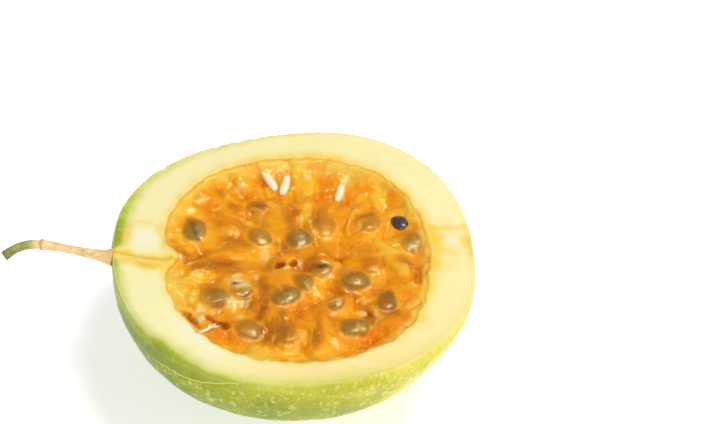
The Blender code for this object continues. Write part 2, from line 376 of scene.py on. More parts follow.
def feed(material, sockets):  # links wires to the shader's own sockets
    shader = material.node_tree.nodes["Principled BSDF"]
    for socket, wire in sockets.items():
        material.node_tree.links.new(wire.socket, shader.inputs[socket])


def paintOver(base, coats):  # each coat is a mask and its colour, laid over the ones before
    for mask, tint in coats:
        base = mask.mix(base, tint)
    return base


# Rind: green skin and pale flesh

rindShape = {
    "columns": 700,
    "restRows": 3,
    "lowRows": 26,
    "fineRows": 34,  # rows of the skin's last stretch below the rim
    "fineDrop": 12.0,
    "roundRows": 9,
    "faceRows": 30,
    "edgeRows": 7,
    "wallRows": 22,
    "wallEase": 1.9,
    # (degrees, mm): how wide the cut rolls over into the skin
    "rounding": (
        (0, 0.7), (188, 0.8), (212, 1.9), (245, 1.7), (262, 0.9), (285, 1.7), (325, 1.7), (345, 0.8),
    ),
    # (degrees, mm): where the green begins, inwards from the rim, or down the skin where negative
    "greenStarts": (
        (0, 0.1), (40, 0.0), (75, -0.1), (100, -0.1), (125, 0.0), (150, 0.6), (162, 1.6), (171, 2.2),
        (175.5, 1.8), (177.5, -0.2), (180, -0.2), (182, 1.0), (192, 0.3), (200, -0.6), (212, -0.6),
        (218, 0.8), (226, 0.6), (235, -0.3), (255, -0.3), (272, 0.8), (285, 1.7), (305, 1.6),
        (318, 0.8), (332, -0.5), (345, -0.5),
    ),
    "greenWander": ((0.35, 3.0, 51),),
    # (degrees, mm): how softly it gives way to the flesh
    "greenSoft": (
        (0, 0.25), (50, 0.3), (90, 0.7), (120, 1.1), (160, 1.2), (182, 0.9), (200, 1.2), (240, 1.3),
        (300, 1.4), (335, 1.4),
    ),
    # (degrees, share): how warm the flesh is, and how ripe and yellow the skin below it
    "warmth": (
        (0, 0.35), (30, 0.25), (90, 0.4), (140, 0.2), (180, 0.1), (230, 0.0), (255, 0.6), (275, 0.9),
        (320, 0.6),
    ),
    "ripeness": (
        (0, 0.62), (60, 0.22), (150, 0.22), (200, 0.22), (240, 0.34), (270, 0.44), (290, 0.58),
        (300, 0.76), (312, 0.92), (335, 0.97),
    ),
    # (degrees, mm): how far the yellow of the lining comes up over the edge
    "yellowEdge": (
        (0, 2.0), (20, 1.8), (40, 1.2), (65, 1.8), (110, 1.6), (150, 1.0), (180, 0.9), (200, 0.2),
        (290, 0.1), (330, 1.2), (345, 2.0),
    ),
    # Soft dents of the skin and waves of the knife: noise of strength, cell and seed
    "dents": ((0.22, 9.0, 11), (0.11, 4.5, 12), (0.055, 2.25, 13), (0.05, 1.6, 15)),
    "dentsFade": (-32.0, -27.0),  # heights between which they die away towards the rest spot
    "knifeWaves": ((0.16, 9.0, 21),),
    "knifeLines": ((0.05, 1.6, 22),),
    "lineStretch": (0.35, 1, 0),
    "teeth": ((0.13, 1.0, 31), (0.065, 0.5, 32)),  # ragged edge of the skin
    "evenTeeth": 0.25,  # how much of them is left away from the back
    # degrees, depth, half width
    "notches": ((139, 0.5, 0.7), (119, 0.45, 0.6), (111, 0.5, 0.5), (44, 0.4, 0.5)),
    # (degrees, mm below the cut): the knife's first stroke across the skin
    "score": (
        (196, 14.0), (202, 11.0), (208, 8.4), (212.5, 7.7), (217, 7.0), (221.5, 6.5), (225, 6.5), (229, 6.3),
        (234.5, 5.3), (241.5, 3.4), (244.5, 2.2), (247.5, 1.4), (250, 0.6),
    ),
    "scoreDepth": 0.22,
    "scoreHalfWidth": 0.28,
    # Stretches of the rim in degrees: where each starts and is full, then where it has ended and is full
    "raggedArc": ((15, 40), (182, 165)),
    "ripeArc": ((15, 40), (168, 148)),
    "flapArc": ((198, 206), (252, 246)),
    "liningArc": ((90, 110), (172, 150)),
    "cutEdgeArc": ((10, 30), (215, 200)),
    "seamStarts": (275, 305),
    "seamEnds": (185, 160),
    "footGap": (178.7, 2.0),  # the stalk's foot breaks the pale edge: middle and width in degrees
}
offCut = 99.0  # distance from the rim or the hollow on rows that don't touch it
inLine = 1e-6  # keeps the side of the stroke defined on the stroke itself


def scoreDistance(angle, drop):  # mm below the stroke, or far away where it isn't
    degreesAt, drops = np.array(rindShape["score"]).T
    turn = np.degrees(angle) % 360
    below = drop - np.interp(turn, degreesAt, drops)
    away = np.clip(degreesAt[0] - turn, 0, None) + np.clip(turn - degreesAt[-1], 0, None)
    return below + 3 * away * np.sign(below + inLine)


def rindRows(angle):
    # Half section at every angle, from the rest spot up the skin, over the rim, in across the cut
    # and down the wall: radius, height, distance in from the rim and distance out from the hollow
    shape = rindShape
    rounding = aroundTable(angle, shape["rounding"])
    edge = hollow["edge"]
    rimAt = rimRadius(angle)
    rows = []

    def addRows(radius, z, fromRim, fromHollow=offCut):
        rows.append(asPoints(radius, z, fromRim, fromHollow))

    restDip = asin(cutHeight / belly["depth"])
    share = np.linspace(0, 1, shape["restRows"] + 1)[1:-1, None]
    addRows(skinRadius(angle, restDip) * share, -cutHeight, -cutHeight)
    fineDip = asin(shape["fineDrop"] / belly["depth"])
    lowDip = np.linspace(restDip, fineDip, shape["lowRows"], endpoint=False)[:, None]
    share = np.linspace(0, 1, shape["fineRows"], endpoint=False)[:, None]
    rimDip = fineDip + (np.arcsin(rounding / belly["depth"]) - fineDip) * share
    for dip in (lowDip, rimDip):
        z = -belly["depth"] * np.sin(dip)
        addRows(skinRadius(angle, dip), z, z)
    turn = np.linspace(0, pi / 2, shape["roundRows"], endpoint=False)[:, None]
    drop = rounding * (1 - np.sin(turn))
    inset = rounding * (1 - np.cos(turn))
    addRows(skinRadius(angle, np.arcsin(drop / belly["depth"])) - inset, -drop, inset - drop)
    innerFace = hollowRadius(angle, 0) + edge
    share = np.linspace(0, 1, shape["faceRows"], endpoint=False)[:, None]
    radius = rimAt - rounding + (innerFace - rimAt + rounding) * share
    addRows(radius, 0, rimAt - radius, radius - innerFace + edge)
    turn = np.linspace(pi / 2, 0, shape["edgeRows"], endpoint=False)[:, None]
    drop = edge * (1 - np.sin(turn))
    outwards = edge * (1 - np.cos(turn))
    radius = hollowRadius(angle, drop) + outwards
    addRows(radius, -drop, rimAt - radius, outwards - drop)
    share = np.linspace(0, 1, shape["wallRows"])[:, None] ** shape["wallEase"]
    drop = edge + (hollow["lowest"] * hollow["depth"] - edge) * share
    addRows(hollowRadius(angle, drop), -drop, offCut, -drop)
    return np.moveaxis(np.concatenate(rows), -1, 0)


def rindRelief(grid, angle, fromRim):
    # Moves the surface along its normal: soft dents in the skin, slow waves of the knife on the cut
    # and the groove of its first stroke; then moves the skin's edge by its teeth and notches
    shape = rindShape
    z = grid[..., 2]
    onSkin = smoothStep(-fromRim, -0.2, 1.0)
    onFace = smoothStep(fromRim, 0.3, 1.5) * smoothStep(z, -1.0, -0.1)
    waves = noiseSum(grid * (1, 1, 0), shape["knifeWaves"])
    waves += noiseSum(grid * shape["lineStretch"], shape["knifeLines"])
    lift = onSkin * smoothStep(z, *shape["dentsFade"]) * noiseSum(grid, shape["dents"]) + onFace * waves
    lift -= shape["scoreDepth"] * bell(scoreDistance(angle, -z), shape["scoreHalfWidth"]) * onSkin
    grid = grid + lift[..., None] * surfaceNormals(grid)
    turn = np.degrees(angle)
    ragged = shape["evenTeeth"] + between(turn, *shape["raggedArc"])
    teeth = ragged * noiseSum(grid * (1, 1, 0), shape["teeth"])
    for place, depth, halfWidth in shape["notches"]:
        teeth -= depth * bell(np.radians(turn - place) * rim["meanRadius"], halfWidth)
    outward = asPoints(np.cos(angle), np.sin(angle), 0)
    return grid + (teeth * bell(fromRim, 0.7))[..., None] * outward


faceMarks = {
    # Thin lines of vessels in the flesh: points, half width, strength
    "lines": (
        (((-39.2, 1.2), (-35.2, -0.2), (-31.5, -0.9), (-26.2, -1.3)), 0.42, 1.0),
        (((-35.2, -0.8), (-32.9, -2.5), (-31.1, -3.6)), 0.4, 0.6),
        (((-37.9, 7.4), (-36.1, 8.2), (-32.9, 9.4), (-30.5, 8.2), (-29.2, 4.9), (-28.8, 2.0)), 0.4, 0.3),
        (((26.6, 7.2), (30.0, 7.6), (33.5, 7.4), (36.8, 7.3)), 0.6, 0.15),
        (((-28.1, -3.9), (-27.9, -6.7)), 0.15, 0.7),
        (((36.1, 3.7), (36.1, -0.2)), 0.5, 0.5),
    ),
    # Yellow patches round them: x, y, half sizes, strength
    "patches": (
        (-35.9, -1.2, 2.6, 1.2, 0.7), (-33.2, -2.4, 3.0, 1.6, 0.8), (-30.7, -2.9, 3.2, 1.6, 0.85),
        (-28.0, -1.3, 3.0, 2.4, 0.8), (-27.1, -4.1, 2.4, 3.2, 0.8), (-28.4, 2.6, 1.6, 2.4, 0.5),
        (-36.6, 5.2, 1.2, 3.4, 0.6), (-37.4, 0.8, 1.8, 1.0, 0.9), (-29.6, 7.6, 1.4, 2.2, 0.35),
        (28.2, 6.9, 2.6, 1.4, 0.8), (31.7, 7.1, 4.0, 1.1, 0.5), (35.1, 7.1, 2.0, 1.2, 0.45),
        (28.5, 3.8, 2.6, 2.8, 0.85), (35.3, 3.7, 1.3, 3.4, 0.7), (29.5, 0.7, 3.4, 1.4, 0.6),
        (28.1, -2.3, 2.2, 2.4, 0.7), (24.3, -12.2, 1.6, 2.6, 0.85), (24.8, -17.5, 1.6, 2.0, 0.5),
        (26.4, -8.6, 1.4, 3.0, 0.5), (32.1, 0.4, 3.0, 1.2, 0.4), (30.5, 4.5, 4.8, 4.6, 0.35),
        (29.5, -2.0, 3.6, 4.4, 0.35), (36.0, -0.5, 1.2, 4.5, 0.4),
    ),
    # Whiter patches, the two at the front left partly a painted sheen on the flesh: x, y, half sizes, turn in
    # degrees, strength
    "whites": (
        (-33.0, 4.6, 2.9, 3.0, 0, 0.9), (-23.2, -21.0, 4.6, 2.2, -40, 0.9),
        (-20.0, -24.5, 4.5, 2.0, -35, 0.5), (32.3, 4.0, 1.7, 1.6, 0, 0.6),
    ),
    "haloWidth": 4,  # of a line's yellow, in its own half widths
    "haloStrength": 0.6,
    "patchFade": (1.7, 0.1),  # in half sizes
    "whiteFade": (1.4, 0.4),
    "wanderX": ((0.7, 2.6, 41), (0.2, 1.0, 43)),  # noise: strength, cell, seed
    "wanderY": ((0.7, 2.6, 42), (0.2, 1.0, 44)),
}


def faceLayers(grid, fromRim, fromHollow):  # how much the cut shows of vessels, of yellow and of white
    marks = faceMarks
    flat = grid * (1, 1, 0)
    x = grid[..., 0] + noiseSum(flat, marks["wanderX"])
    y = grid[..., 1] + noiseSum(flat, marks["wanderY"])
    onFace = smoothStep(fromRim, -0.2, 0.5) * smoothStep(fromHollow, -5.0, 0.5)
    line, yellow, white = np.zeros((3, *x.shape))
    for route, halfWidth, strength in marks["lines"]:
        distance = lineDistance(x, y, route)[0]
        halo = marks["haloStrength"] * bell(distance, marks["haloWidth"] * halfWidth)
        line = np.maximum(line, strength * bell(distance, halfWidth))
        yellow = np.maximum(yellow, strength * halo)
    for px, py, halfX, halfY, strength in marks["patches"]:
        away = np.hypot((x - px) / halfX, (y - py) / halfY)
        yellow = np.maximum(yellow, strength * smoothStep(away, *marks["patchFade"]))
    for px, py, halfX, halfY, turn, strength in marks["whites"]:
        along, across = turned(x - px, y - py, radians(turn))
        away = np.hypot(along / halfX, across / halfY)
        white = np.maximum(white, strength * smoothStep(away, *marks["whiteFade"]))
    return {"line": line * onFace, "yellow": yellow * onFace, "white": white * onFace}


skinLook = {  # of two colours the first is on green skin or cool flesh, the second on ripe or warm
    "greens": ((0.0, "657b00"), (0.3, "819102"), (0.55, "9fa406"), (0.8, "c7c020"), (1.0, "e8de5c")),
    "nearCut": ("c8d250", "efe06a"),
    "specks": ("c9d369", "ece278"),
    "score": "dde07a",
    "flesh": ("fdf3b8", "fee59a"),
    "underSkin": ("cdd45c", "eee080"),
    "lining": ("fdd968", "ffc048", "f49a1c"),  # from the flesh down into the hollow
    "patch": "fad24a",
    "white": "fdf5da",
    "vessel": "e8b02c",
    "liningLine": "e39a2a",
    "seam": "fb9c20",
    "cutEdge": "ecefa8",
    "speckSizes": ((1.3, -0.03, 0.42), (2.4, -0.14, 0.46)),  # cell in mm, least size, spread of sizes
}


def skinSpecks(place, grain):  # pale specks: where a cell's own size is more than the distance to its middle
    stretched = place.stretch((1.0, 1.0, 0.5))
    layers = []
    for cell, least, spread in skinLook["speckSizes"]:
        size = place.node("ShaderNodeSeparateColor", None, {0: stretched.cells(cell, 1)})
        layers.append((size * spread + least - (stretched.cells(cell, 0) + (grain - 0.5))).rise(-0.16, 0.16))
    return layers[0].maths("MAXIMUM", *layers)


def skinMaterial():
    material, wire = newMaterial("rind", {
        "Subsurface Weight": 0.2,
        "Subsurface Radius": (1.0, 0.8, 0.3),
        "Subsurface Scale": 1.4 * mm,
        "Coat Roughness": 0.25,
        "Specular IOR Level": 0.13,
    })
    look = skinLook
    place = wire.place()
    intoFlesh, fromHollow, ripe = (wire.layer(name) for name in ("intoFlesh", "fromHollow", "ripe"))
    # Skin: mottled greens, yellower where it is ripe, with pale specks of two sizes
    clouds = place.noise(9.0, 4.0)
    grain = place.noise(0.9, 3.0)
    border = intoFlesh + (grain - 0.5) * 0.6
    speck = skinSpecks(place, place.noise(0.6, 2.0)) * (1 - wire.layer("flap") * 0.7)
    green = paintOver(((clouds - 0.5) * 0.9 + (grain - 0.5) * 0.45 + ripe).ramp(look["greens"]), (
        (border.rise(-3.2, -0.4) * 0.5, ripe.rise(0.4, 0.85).mix(*look["nearCut"])),
        (speck * 0.7, ripe.rise(0.4, 0.9).mix(*look["specks"])),
        ((1 - abs(wire.layer("scored")).rise(0.05, 0.34)) * 0.8, look["score"]),
    ))
    # Flesh: green fading in from the skin, pale, then yellow at the lining of the hollow
    haze = place.noise(3.5, 3.0)
    warm = wire.layer("warm") + (haze - 0.5) * 0.6
    lining = fromHollow + (haze - 0.5) * 2.6
    cover = wire.layer("yellowEdge")
    outerTint, middleTint, innerTint = look["lining"]
    underSkin = ripe.rise(0.45, 0.9).mix(*look["underSkin"])
    flesh = paintOver(warm.rise(0.0, 1.0).mix(*look["flesh"]), (
        ((1 - (intoFlesh + (haze - 0.5)).rise(-0.4, 2.6)) * 0.9, underSkin),
        ((1 - (lining - cover).rise(-1.4, 1.6)) * 0.85, outerTint),
        (1 - (lining - cover * 0.7).rise(-2.2, 0.0), middleTint),
        (1 - lining.rise(-6.0, -2.2), innerTint),
        ((wire.layer("yellow") * (haze * 0.6 + 0.7)).rise(-0.05, 0.95), look["patch"]),
        # whiter patches of the flesh, at the front left partly a painted sheen
        (wire.layer("white") * 0.8, look["white"]),
        (wire.layer("line") * 0.65, look["vessel"]),
        (wire.layer("liningLine") * haze.rise(0.3, 0.6) * 0.4, look["liningLine"]),
        (wire.layer("seam") * 0.9, look["seam"]),
    ))
    inFlesh = border.rise(-0.8, 0.5)
    pores = place.noise(0.35, 2.0) * (1 - inFlesh) + haze * inFlesh
    feed(material, {
        "Base Color": (wire.layer("cutEdge") * 0.75).mix(inFlesh.mix(green, flesh), look["cutEdge"]),
        "Roughness": inFlesh * 0.1 + 0.38 + (clouds - 0.5) * 0.1,
        "Coat Weight": (1 - inFlesh) * 0.04 + 0.06,
        "Normal": (pores + speck * 0.3).bump(0.10, 0.6),
    })
    return material


def makeRind():
    shape = rindShape
    angle = np.linspace(0, 2 * pi, shape["columns"], endpoint=False)
    radius, z, fromRim, fromHollow = rindRows(angle)
    angle = np.broadcast_to(angle, radius.shape)
    turn = np.degrees(angle)
    grid = asPoints(radius * np.cos(angle), radius * np.sin(angle), z)
    greenStarts = aroundTable(angle, shape["greenStarts"]) + noiseSum(grid, shape["greenWander"])
    scored = scoreDistance(angle, -z)
    flap = smoothStep(-scored, 0.0, 0.4) * between(turn, *shape["flapArc"])
    ripe = aroundTable(angle, shape["ripeness"]) + 0.15 * smoothStep(z, -16, -2) - 0.1 * flap
    ripe += 0.5 * between(turn, *shape["ripeArc"]) * bell(fromRim - 0.2, 1.1)
    seamArc = smoothStep(turn, *shape["seamStarts"]) + smoothStep(turn, *shape["seamEnds"])
    gapMiddle, gapWidth = shape["footGap"]
    paleEdge = between(turn, *shape["cutEdgeArc"]) * (1 - bell(turn - gapMiddle, gapWidth))
    layers = faceLayers(grid, fromRim, fromHollow) | {
        "intoFlesh": (fromRim - greenStarts) / aroundTable(angle, shape["greenSoft"]),
        "fromHollow": fromHollow,
        "ripe": ripe,
        "warm": aroundTable(angle, shape["warmth"]),
        "yellowEdge": aroundTable(angle, shape["yellowEdge"]),
        "scored": scored,
        "flap": flap,
        "liningLine": bell(fromHollow + 0.1, 0.22) * between(turn, *shape["liningArc"]),
        "seam": bell(fromHollow + 0.55, 0.45) * seamArc,
        "cutEdge": smoothStep(np.abs(fromRim), 0.4, 0.1) * paleEdge,
    }
    grid = rindRelief(grid, angle, fromRim)
    points, faces = closeEnds(grid, [(0, 0, -cutHeight), (0, 0, grid[-1, :, 2].mean())])
    values = {key: np.append(layer, (layer[0].mean(), layer[-1].mean())) for key, layer in layers.items()}
    putMesh("rind", points, faces, skinMaterial(), "rind_shell", values)


# Pulp: one wet mass of seed sacs

pulpShape = {
    "cells": 268,
    "sideRows": 7,
    "fitGap": 0.5,
    "heapDrop": 1.3,
    "backDrop": 3.0,
    "backStarts": 9.0,
    "backEnds": 21.0,
    "sac": (4.9, 3.7, 3.2),
    "sacSpread": (1.15, 1.15, 1.0),  # a sac's skin reaches out this much further
    "sacPoint": 0.22,  # how much narrower its outer end is
    "seed": (2.9, 2.35, 1.3),
    "seedPoint": 0.12,
    "seedShows": 0.2,
    "fillSacs": 38,
    "fillTries": 40,
    "fillSeed": 11,
    "fillUneven": 0.13,
    "fillStray": 0.35,
    "fillWallGap": 3.0,
    "fillPitch": 22,
    "leanStarts": 0.6,
    "shownRise": 0.2,  # sacs with a seed lie this much above the heap, the others between these two
    "fillRise": (-0.5, 0.25),
    "tilt": 0.12,
    "backSacs": 19,
    "backSeed": 23,
    "backFirst": 16,  # degrees
    "backStep": 8.4,
    "coreTop": -3.1,
    "coreSag": 0.5,
    "bankTop": -1.0,  # pulp that climbs the wall
    "bankSlope": 0.5,
    "bankBackDrop": 0.8,
    "melt": 0.55,  # how softly one sac runs into the next
    "backMelt": 0.75,
    "cap": -0.25,  # no part of the heap stands above this
    "capSoft": 0.15,
    "intoWall": 0.9,
    # (degrees, mm): how far in from the wall the pulp takes the wall's pale yellow
    "skirt": (
        (0, 1.2), (15, 0.9), (25, 0.4), (48, 0.4), (57, 1.0), (66, 2.6), (100, 2.3), (125, 1.2),
        (150, 0.8), (172, 0.7), (184, 1.2), (191, 2.8), (197, 2.2), (205, 0.6), (225, 0.3), (260, 0.4),
        (300, 0.7), (335, 1.2),
    ),
    # blur steps for the painted shade in the creases
    "creaseShadeBlur": 60,
    "calm": 0.7,  # how much of the wrinkles the seeds lose
    "folds": ((3.4, 66, 67), (2.2, 68, 69)),  # cell, seed of the lines, seed of where they show
    "foldCell": 4.5,
    "foldRise": 0.08,
    "foldPaleness": 0.35,
    "membraneRise": 0.7,
    "torn": (-22.0, -10.5, 5.5, 0.6),  # x, y, width, rise
}

# Noise of the heap: strength, cell and seed of each layer
heapNoise = {
    "wanderX": ((0.7, 4.0, 1), (0.25, 1.5, 2)),
    "wanderY": ((0.7, 4.0, 3), (0.25, 1.5, 4)),
    "core": ((0.6, 5.0, 7), (0.3, 2.0, 8)),
    "bank": ((0.5, 2.4, 95), (0.2, 1.0, 94)),
    "spokes": ((0.6, 2.8, 51), (0.3, 1.4, 52), (0.15, 0.7, 53)),
    "level": ((0.6, 2.8, 55), (0.3, 1.4, 56), (0.15, 0.7, 57)),
    "deep": ((1.0, 4.0, 57), (0.4, 1.4, 58)),
    "stainX": ((0.35, 1.0, 59),),
    "stainY": ((0.35, 1.0, 60),),
    "membraneX": ((0.35, 0.8, 111),),
    "membraneY": ((0.35, 0.8, 112),),
    "membraneWidth": ((0.5, 0.9, 65),),
    "membranePaleness": ((0.4, 1.2, 113),),
    "spokeGrain": ((0.12, 1.4, 62),),
    "levelGrain": ((0.08, 1.2, 61),),
    "grain": ((0.07, 1.5, 63),),
    "backLumps": ((0.35, 2.2, 98),),
    "torn": ((0.9, 2.2, 97),),
    "wallTone": ((0.8, 3.0, 96),),
    "skirtEdge": ((0.9, 2.2, 121),),
    "skirt": ((0.4, 3.0, 122),),
}

# Seeds that show: x, y, turn in degrees, size, how strongly it shows and how grey it is
shownSeeds = (
    (-22.4, 8.5, 104, 1.15, 1.1, 0.6), (-8.5, 15.0, 145, 0.8, 0.6, 0.2), (-8.5, 6.5, 120, 0.95, 0.9, 0.6),
    (-0.5, 6.0, 118, 1.05, 1.1, 0.7), (5.5, 9.0, 75, 1.0, 0.6, 0.4), (15.0, 10.0, 45, 1.0, 0.6, 0.4),
    (24.0, 4.5, 65, 1.1, 1.0, 0.8), (-18.0, -10.5, 5, 1.2, 1.0, 0.5), (-12.5, -8.5, 25, 0.9, 0.8, 0.6),
    (-3.5, -10.0, 10, 1.15, 1.1, 0.8), (0.5, -6.5, 135, 0.85, 0.9, 0.8), (4.3, -3.0, 30, 0.9, 0.6, 0.9),
    (11.5, -6.0, 5, 1.05, 1.15, 0.5), (7.0, -12.0, 20, 0.8, 0.7, 0.5), (10.5, -18.5, 5, 1.1, 1.1, 0.6),
    (18.0, -11.5, 78, 0.95, 0.9, 0.2), (21.5, -2.0, 110, 0.95, 0.6, 0.5), (-11.5, -19.0, 145, 1.0, 0.9, 0.6),
    (-3.0, -20.5, 25, 0.95, 0.6, 0.1),
)

# Long sacs and strings that lie over the others: points of x, y, height of the middle and radius,
# then the tone from deep orange (-1) to yellow (1)
strings = (
    (((16.4, 4.6, -2.6, 1.0), (19.0, 0.6, -2.2, 1.7), (21.6, -4.0, -2.0, 1.6), (23.7, -8.0, -2.1, 0.7)), 0.9),
    (((1.6, 26.5, -3.6, 1.4), (2.2, 19.0, -4.0, 1.7), (2.6, 11.0, -2.9, 1.4), (3.2, 3.8, -1.9, 0.5)), 0.35),
    (((13.4, 17.0, -4.2, 0.7), (11.8, 13.0, -3.0, 0.8), (10.2, 7.0, -2.0, 0.6)), 0.1),
    (((-24.0, 14.5, -4.2, 1.5), (-26.0, 9.0, -3.6, 1.3), (-26.6, 5.0, -3.2, 1.0)), 0.8),
    (((17.6, 19.2, -4.2, 1.5), (16.6, 14.5, -4.0, 1.5), (14.4, 10.5, -3.4, 1.0)), 0.5),
    (((22.4, -13.2, -2.4, 1.2), (24.4, -10.6, -2.0, 1.0), (25.6, -9.4, -1.6, 0.6)), 0.7),
    (((6.8, -22.8, -2.5, 1.1), (1.0, -18.0, -2.4, 1.2), (-3.6, -15.4, -2.6, 0.8)), 0.2),
)

# Pale membranes, their paleness partly a painted highlight where they catch the light: both ends in x and y,
# half width, how far they stand up, paleness
membranes = (
    (2.2, 11.5, 3.2, 4.0, 0.5, 0.3, 1.0), (11.8, 14.0, 10.2, 7.6, 0.4, 0.35, 1.0),
    (8.3, 10.4, 8.7, 7.4, 0.25, 0.2, 0.8), (-4.6, 6.2, -3.7, 0.6, 0.3, 0.25, 0.9),
    (-10.3, 14.6, -7.0, 12.6, 0.35, 0.25, 0.8), (-14.4, 12.6, -2.6, 10.3, 0.25, 0.22, 0.6),
    (-12.0, 11.8, -10.6, 10.2, 0.8, 0.15, 0.9), (-15.2, 8.4, -13.4, 7.6, 1.0, 0.1, 0.6),
    (-28.1, 9.5, -27.6, 6.3, 0.4, 0.3, 0.9), (-26.2, 7.5, -24.8, 4.4, 0.45, 0.35, 1.1),
    (-24.4, 3.3, -22.9, 2.9, 0.6, 0.2, 0.9), (-23.8, -1.6, -22.2, 0.3, 0.5, 0.3, 1.1),
    (-17.6, 3.6, -15.6, 4.4, 0.6, 0.1, 0.7), (-7.6, 2.6, -6.4, 1.0, 0.8, 0.1, 0.8),
    (5.1, 16.4, 5.3, 15.8, 0.35, 0.1, 0.8), (10.2, 2.2, 12.0, 1.2, 0.3, 0.25, 0.7),
    (7.9, 3.2, 8.3, 1.6, 0.3, 0.2, 0.8), (15.8, 4.2, 15.8, 3.0, 0.35, 0.1, 0.7),
    (17.0, 4.2, 18.9, 3.7, 0.2, 0.15, 0.6), (20.2, 2.0, 21.6, 0.6, 0.4, 0.2, 0.8),
    (23.2, 12.2, 25.0, 9.6, 0.45, 0.3, 0.9), (20.2, 14.6, 21.2, 14.0, 0.7, 0.1, 0.6),
    (7.4, 24.0, 8.0, 21.5, 0.35, 0.2, 0.5), (3.8, 21.5, 4.0, 19.5, 0.5, 0.1, 0.5),
    (-12.8, 22.6, -12.0, 21.0, 0.8, 0.1, 0.6), (-15.3, 19.8, -15.2, 18.4, 0.5, 0.1, 0.6),
    (-20.3, 17.9, -20.1, 17.2, 0.5, 0.1, 0.5), (-15.6, -11.0, -13.6, -12.6, 0.8, 0.1, 1.1),
    (-10.4, -9.6, -11.9, -13.4, 0.3, 0.3, 0.9), (-14.0, -15.0, -12.2, -15.0, 0.5, 0.2, 0.8),
    (-9.0, -16.6, -7.6, -19.2, 0.3, 0.3, 0.8), (-11.3, -21.6, -10.9, -22.8, 0.25, 0.15, 0.9),
    (-10.8, -24.0, -9.4, -23.8, 0.6, 0.1, 0.5), (-8.2, -23.0, -7.4, -24.6, 0.3, 0.25, 0.8),
    (-5.4, -20.0, -6.6, -22.6, 0.3, 0.3, 0.7), (-24.4, -9.8, -22.8, -11.4, 0.8, 0.1, 0.7),
    (-5.2, -7.2, -4.4, -9.0, 0.4, 0.1, 0.7), (4.8, -1.2, 5.8, -1.9, 0.35, 0.1, 1.1),
    (0.8, -7.2, 1.5, -8.4, 0.35, 0.1, 0.9), (11.5, -6.2, 12.4, -6.7, 0.4, 0.05, 0.6),
    (11.5, -18.9, 12.6, -19.8, 0.5, 0.05, 0.9), (-0.8, -19.4, 0.4, -20.2, 0.6, 0.1, 0.8),
    (5.9, -22.3, 8.2, -23.0, 0.6, 0.1, 0.7), (1.2, -21.6, 1.2, -24.6, 0.3, 0.3, 0.8),
    (14.6, -13.0, 16.0, -17.2, 0.5, 0.35, 1.0), (13.2, -9.4, 14.8, -9.9, 0.5, 0.2, 0.9),
    (15.4, -2.6, 17.6, -4.2, 1.1, 0.1, 0.7), (20.3, -7.3, 23.8, -8.3, 0.3, 0.3, 0.9),
    (19.3, -12.2, 19.9, -13.0, 0.35, 0.05, 0.6),
)

# Holes in the heap, darkened inside as painted shade: both ends in x and y, half width, depth and how dark
pits = (
    (-4.6, -1.5, -4.0, -1.3, 0.9, 0.8, 1.0), (-1.6, -1.1, -1.4, -0.9, 0.75, 0.8, 0.9),
    (-24.8, -14.2, -21.4, -18.9, 0.8, 0.8, 0.55), (-19.7, -15.4, -15.9, -17.6, 0.8, 0.9, 0.6),
    (12.8, -21.2, 16.4, -19.8, 1.4, 1.4, 0.0), (25.0, -2.6, 24.6, -7.0, 0.7, 1.0, 0.1),
)
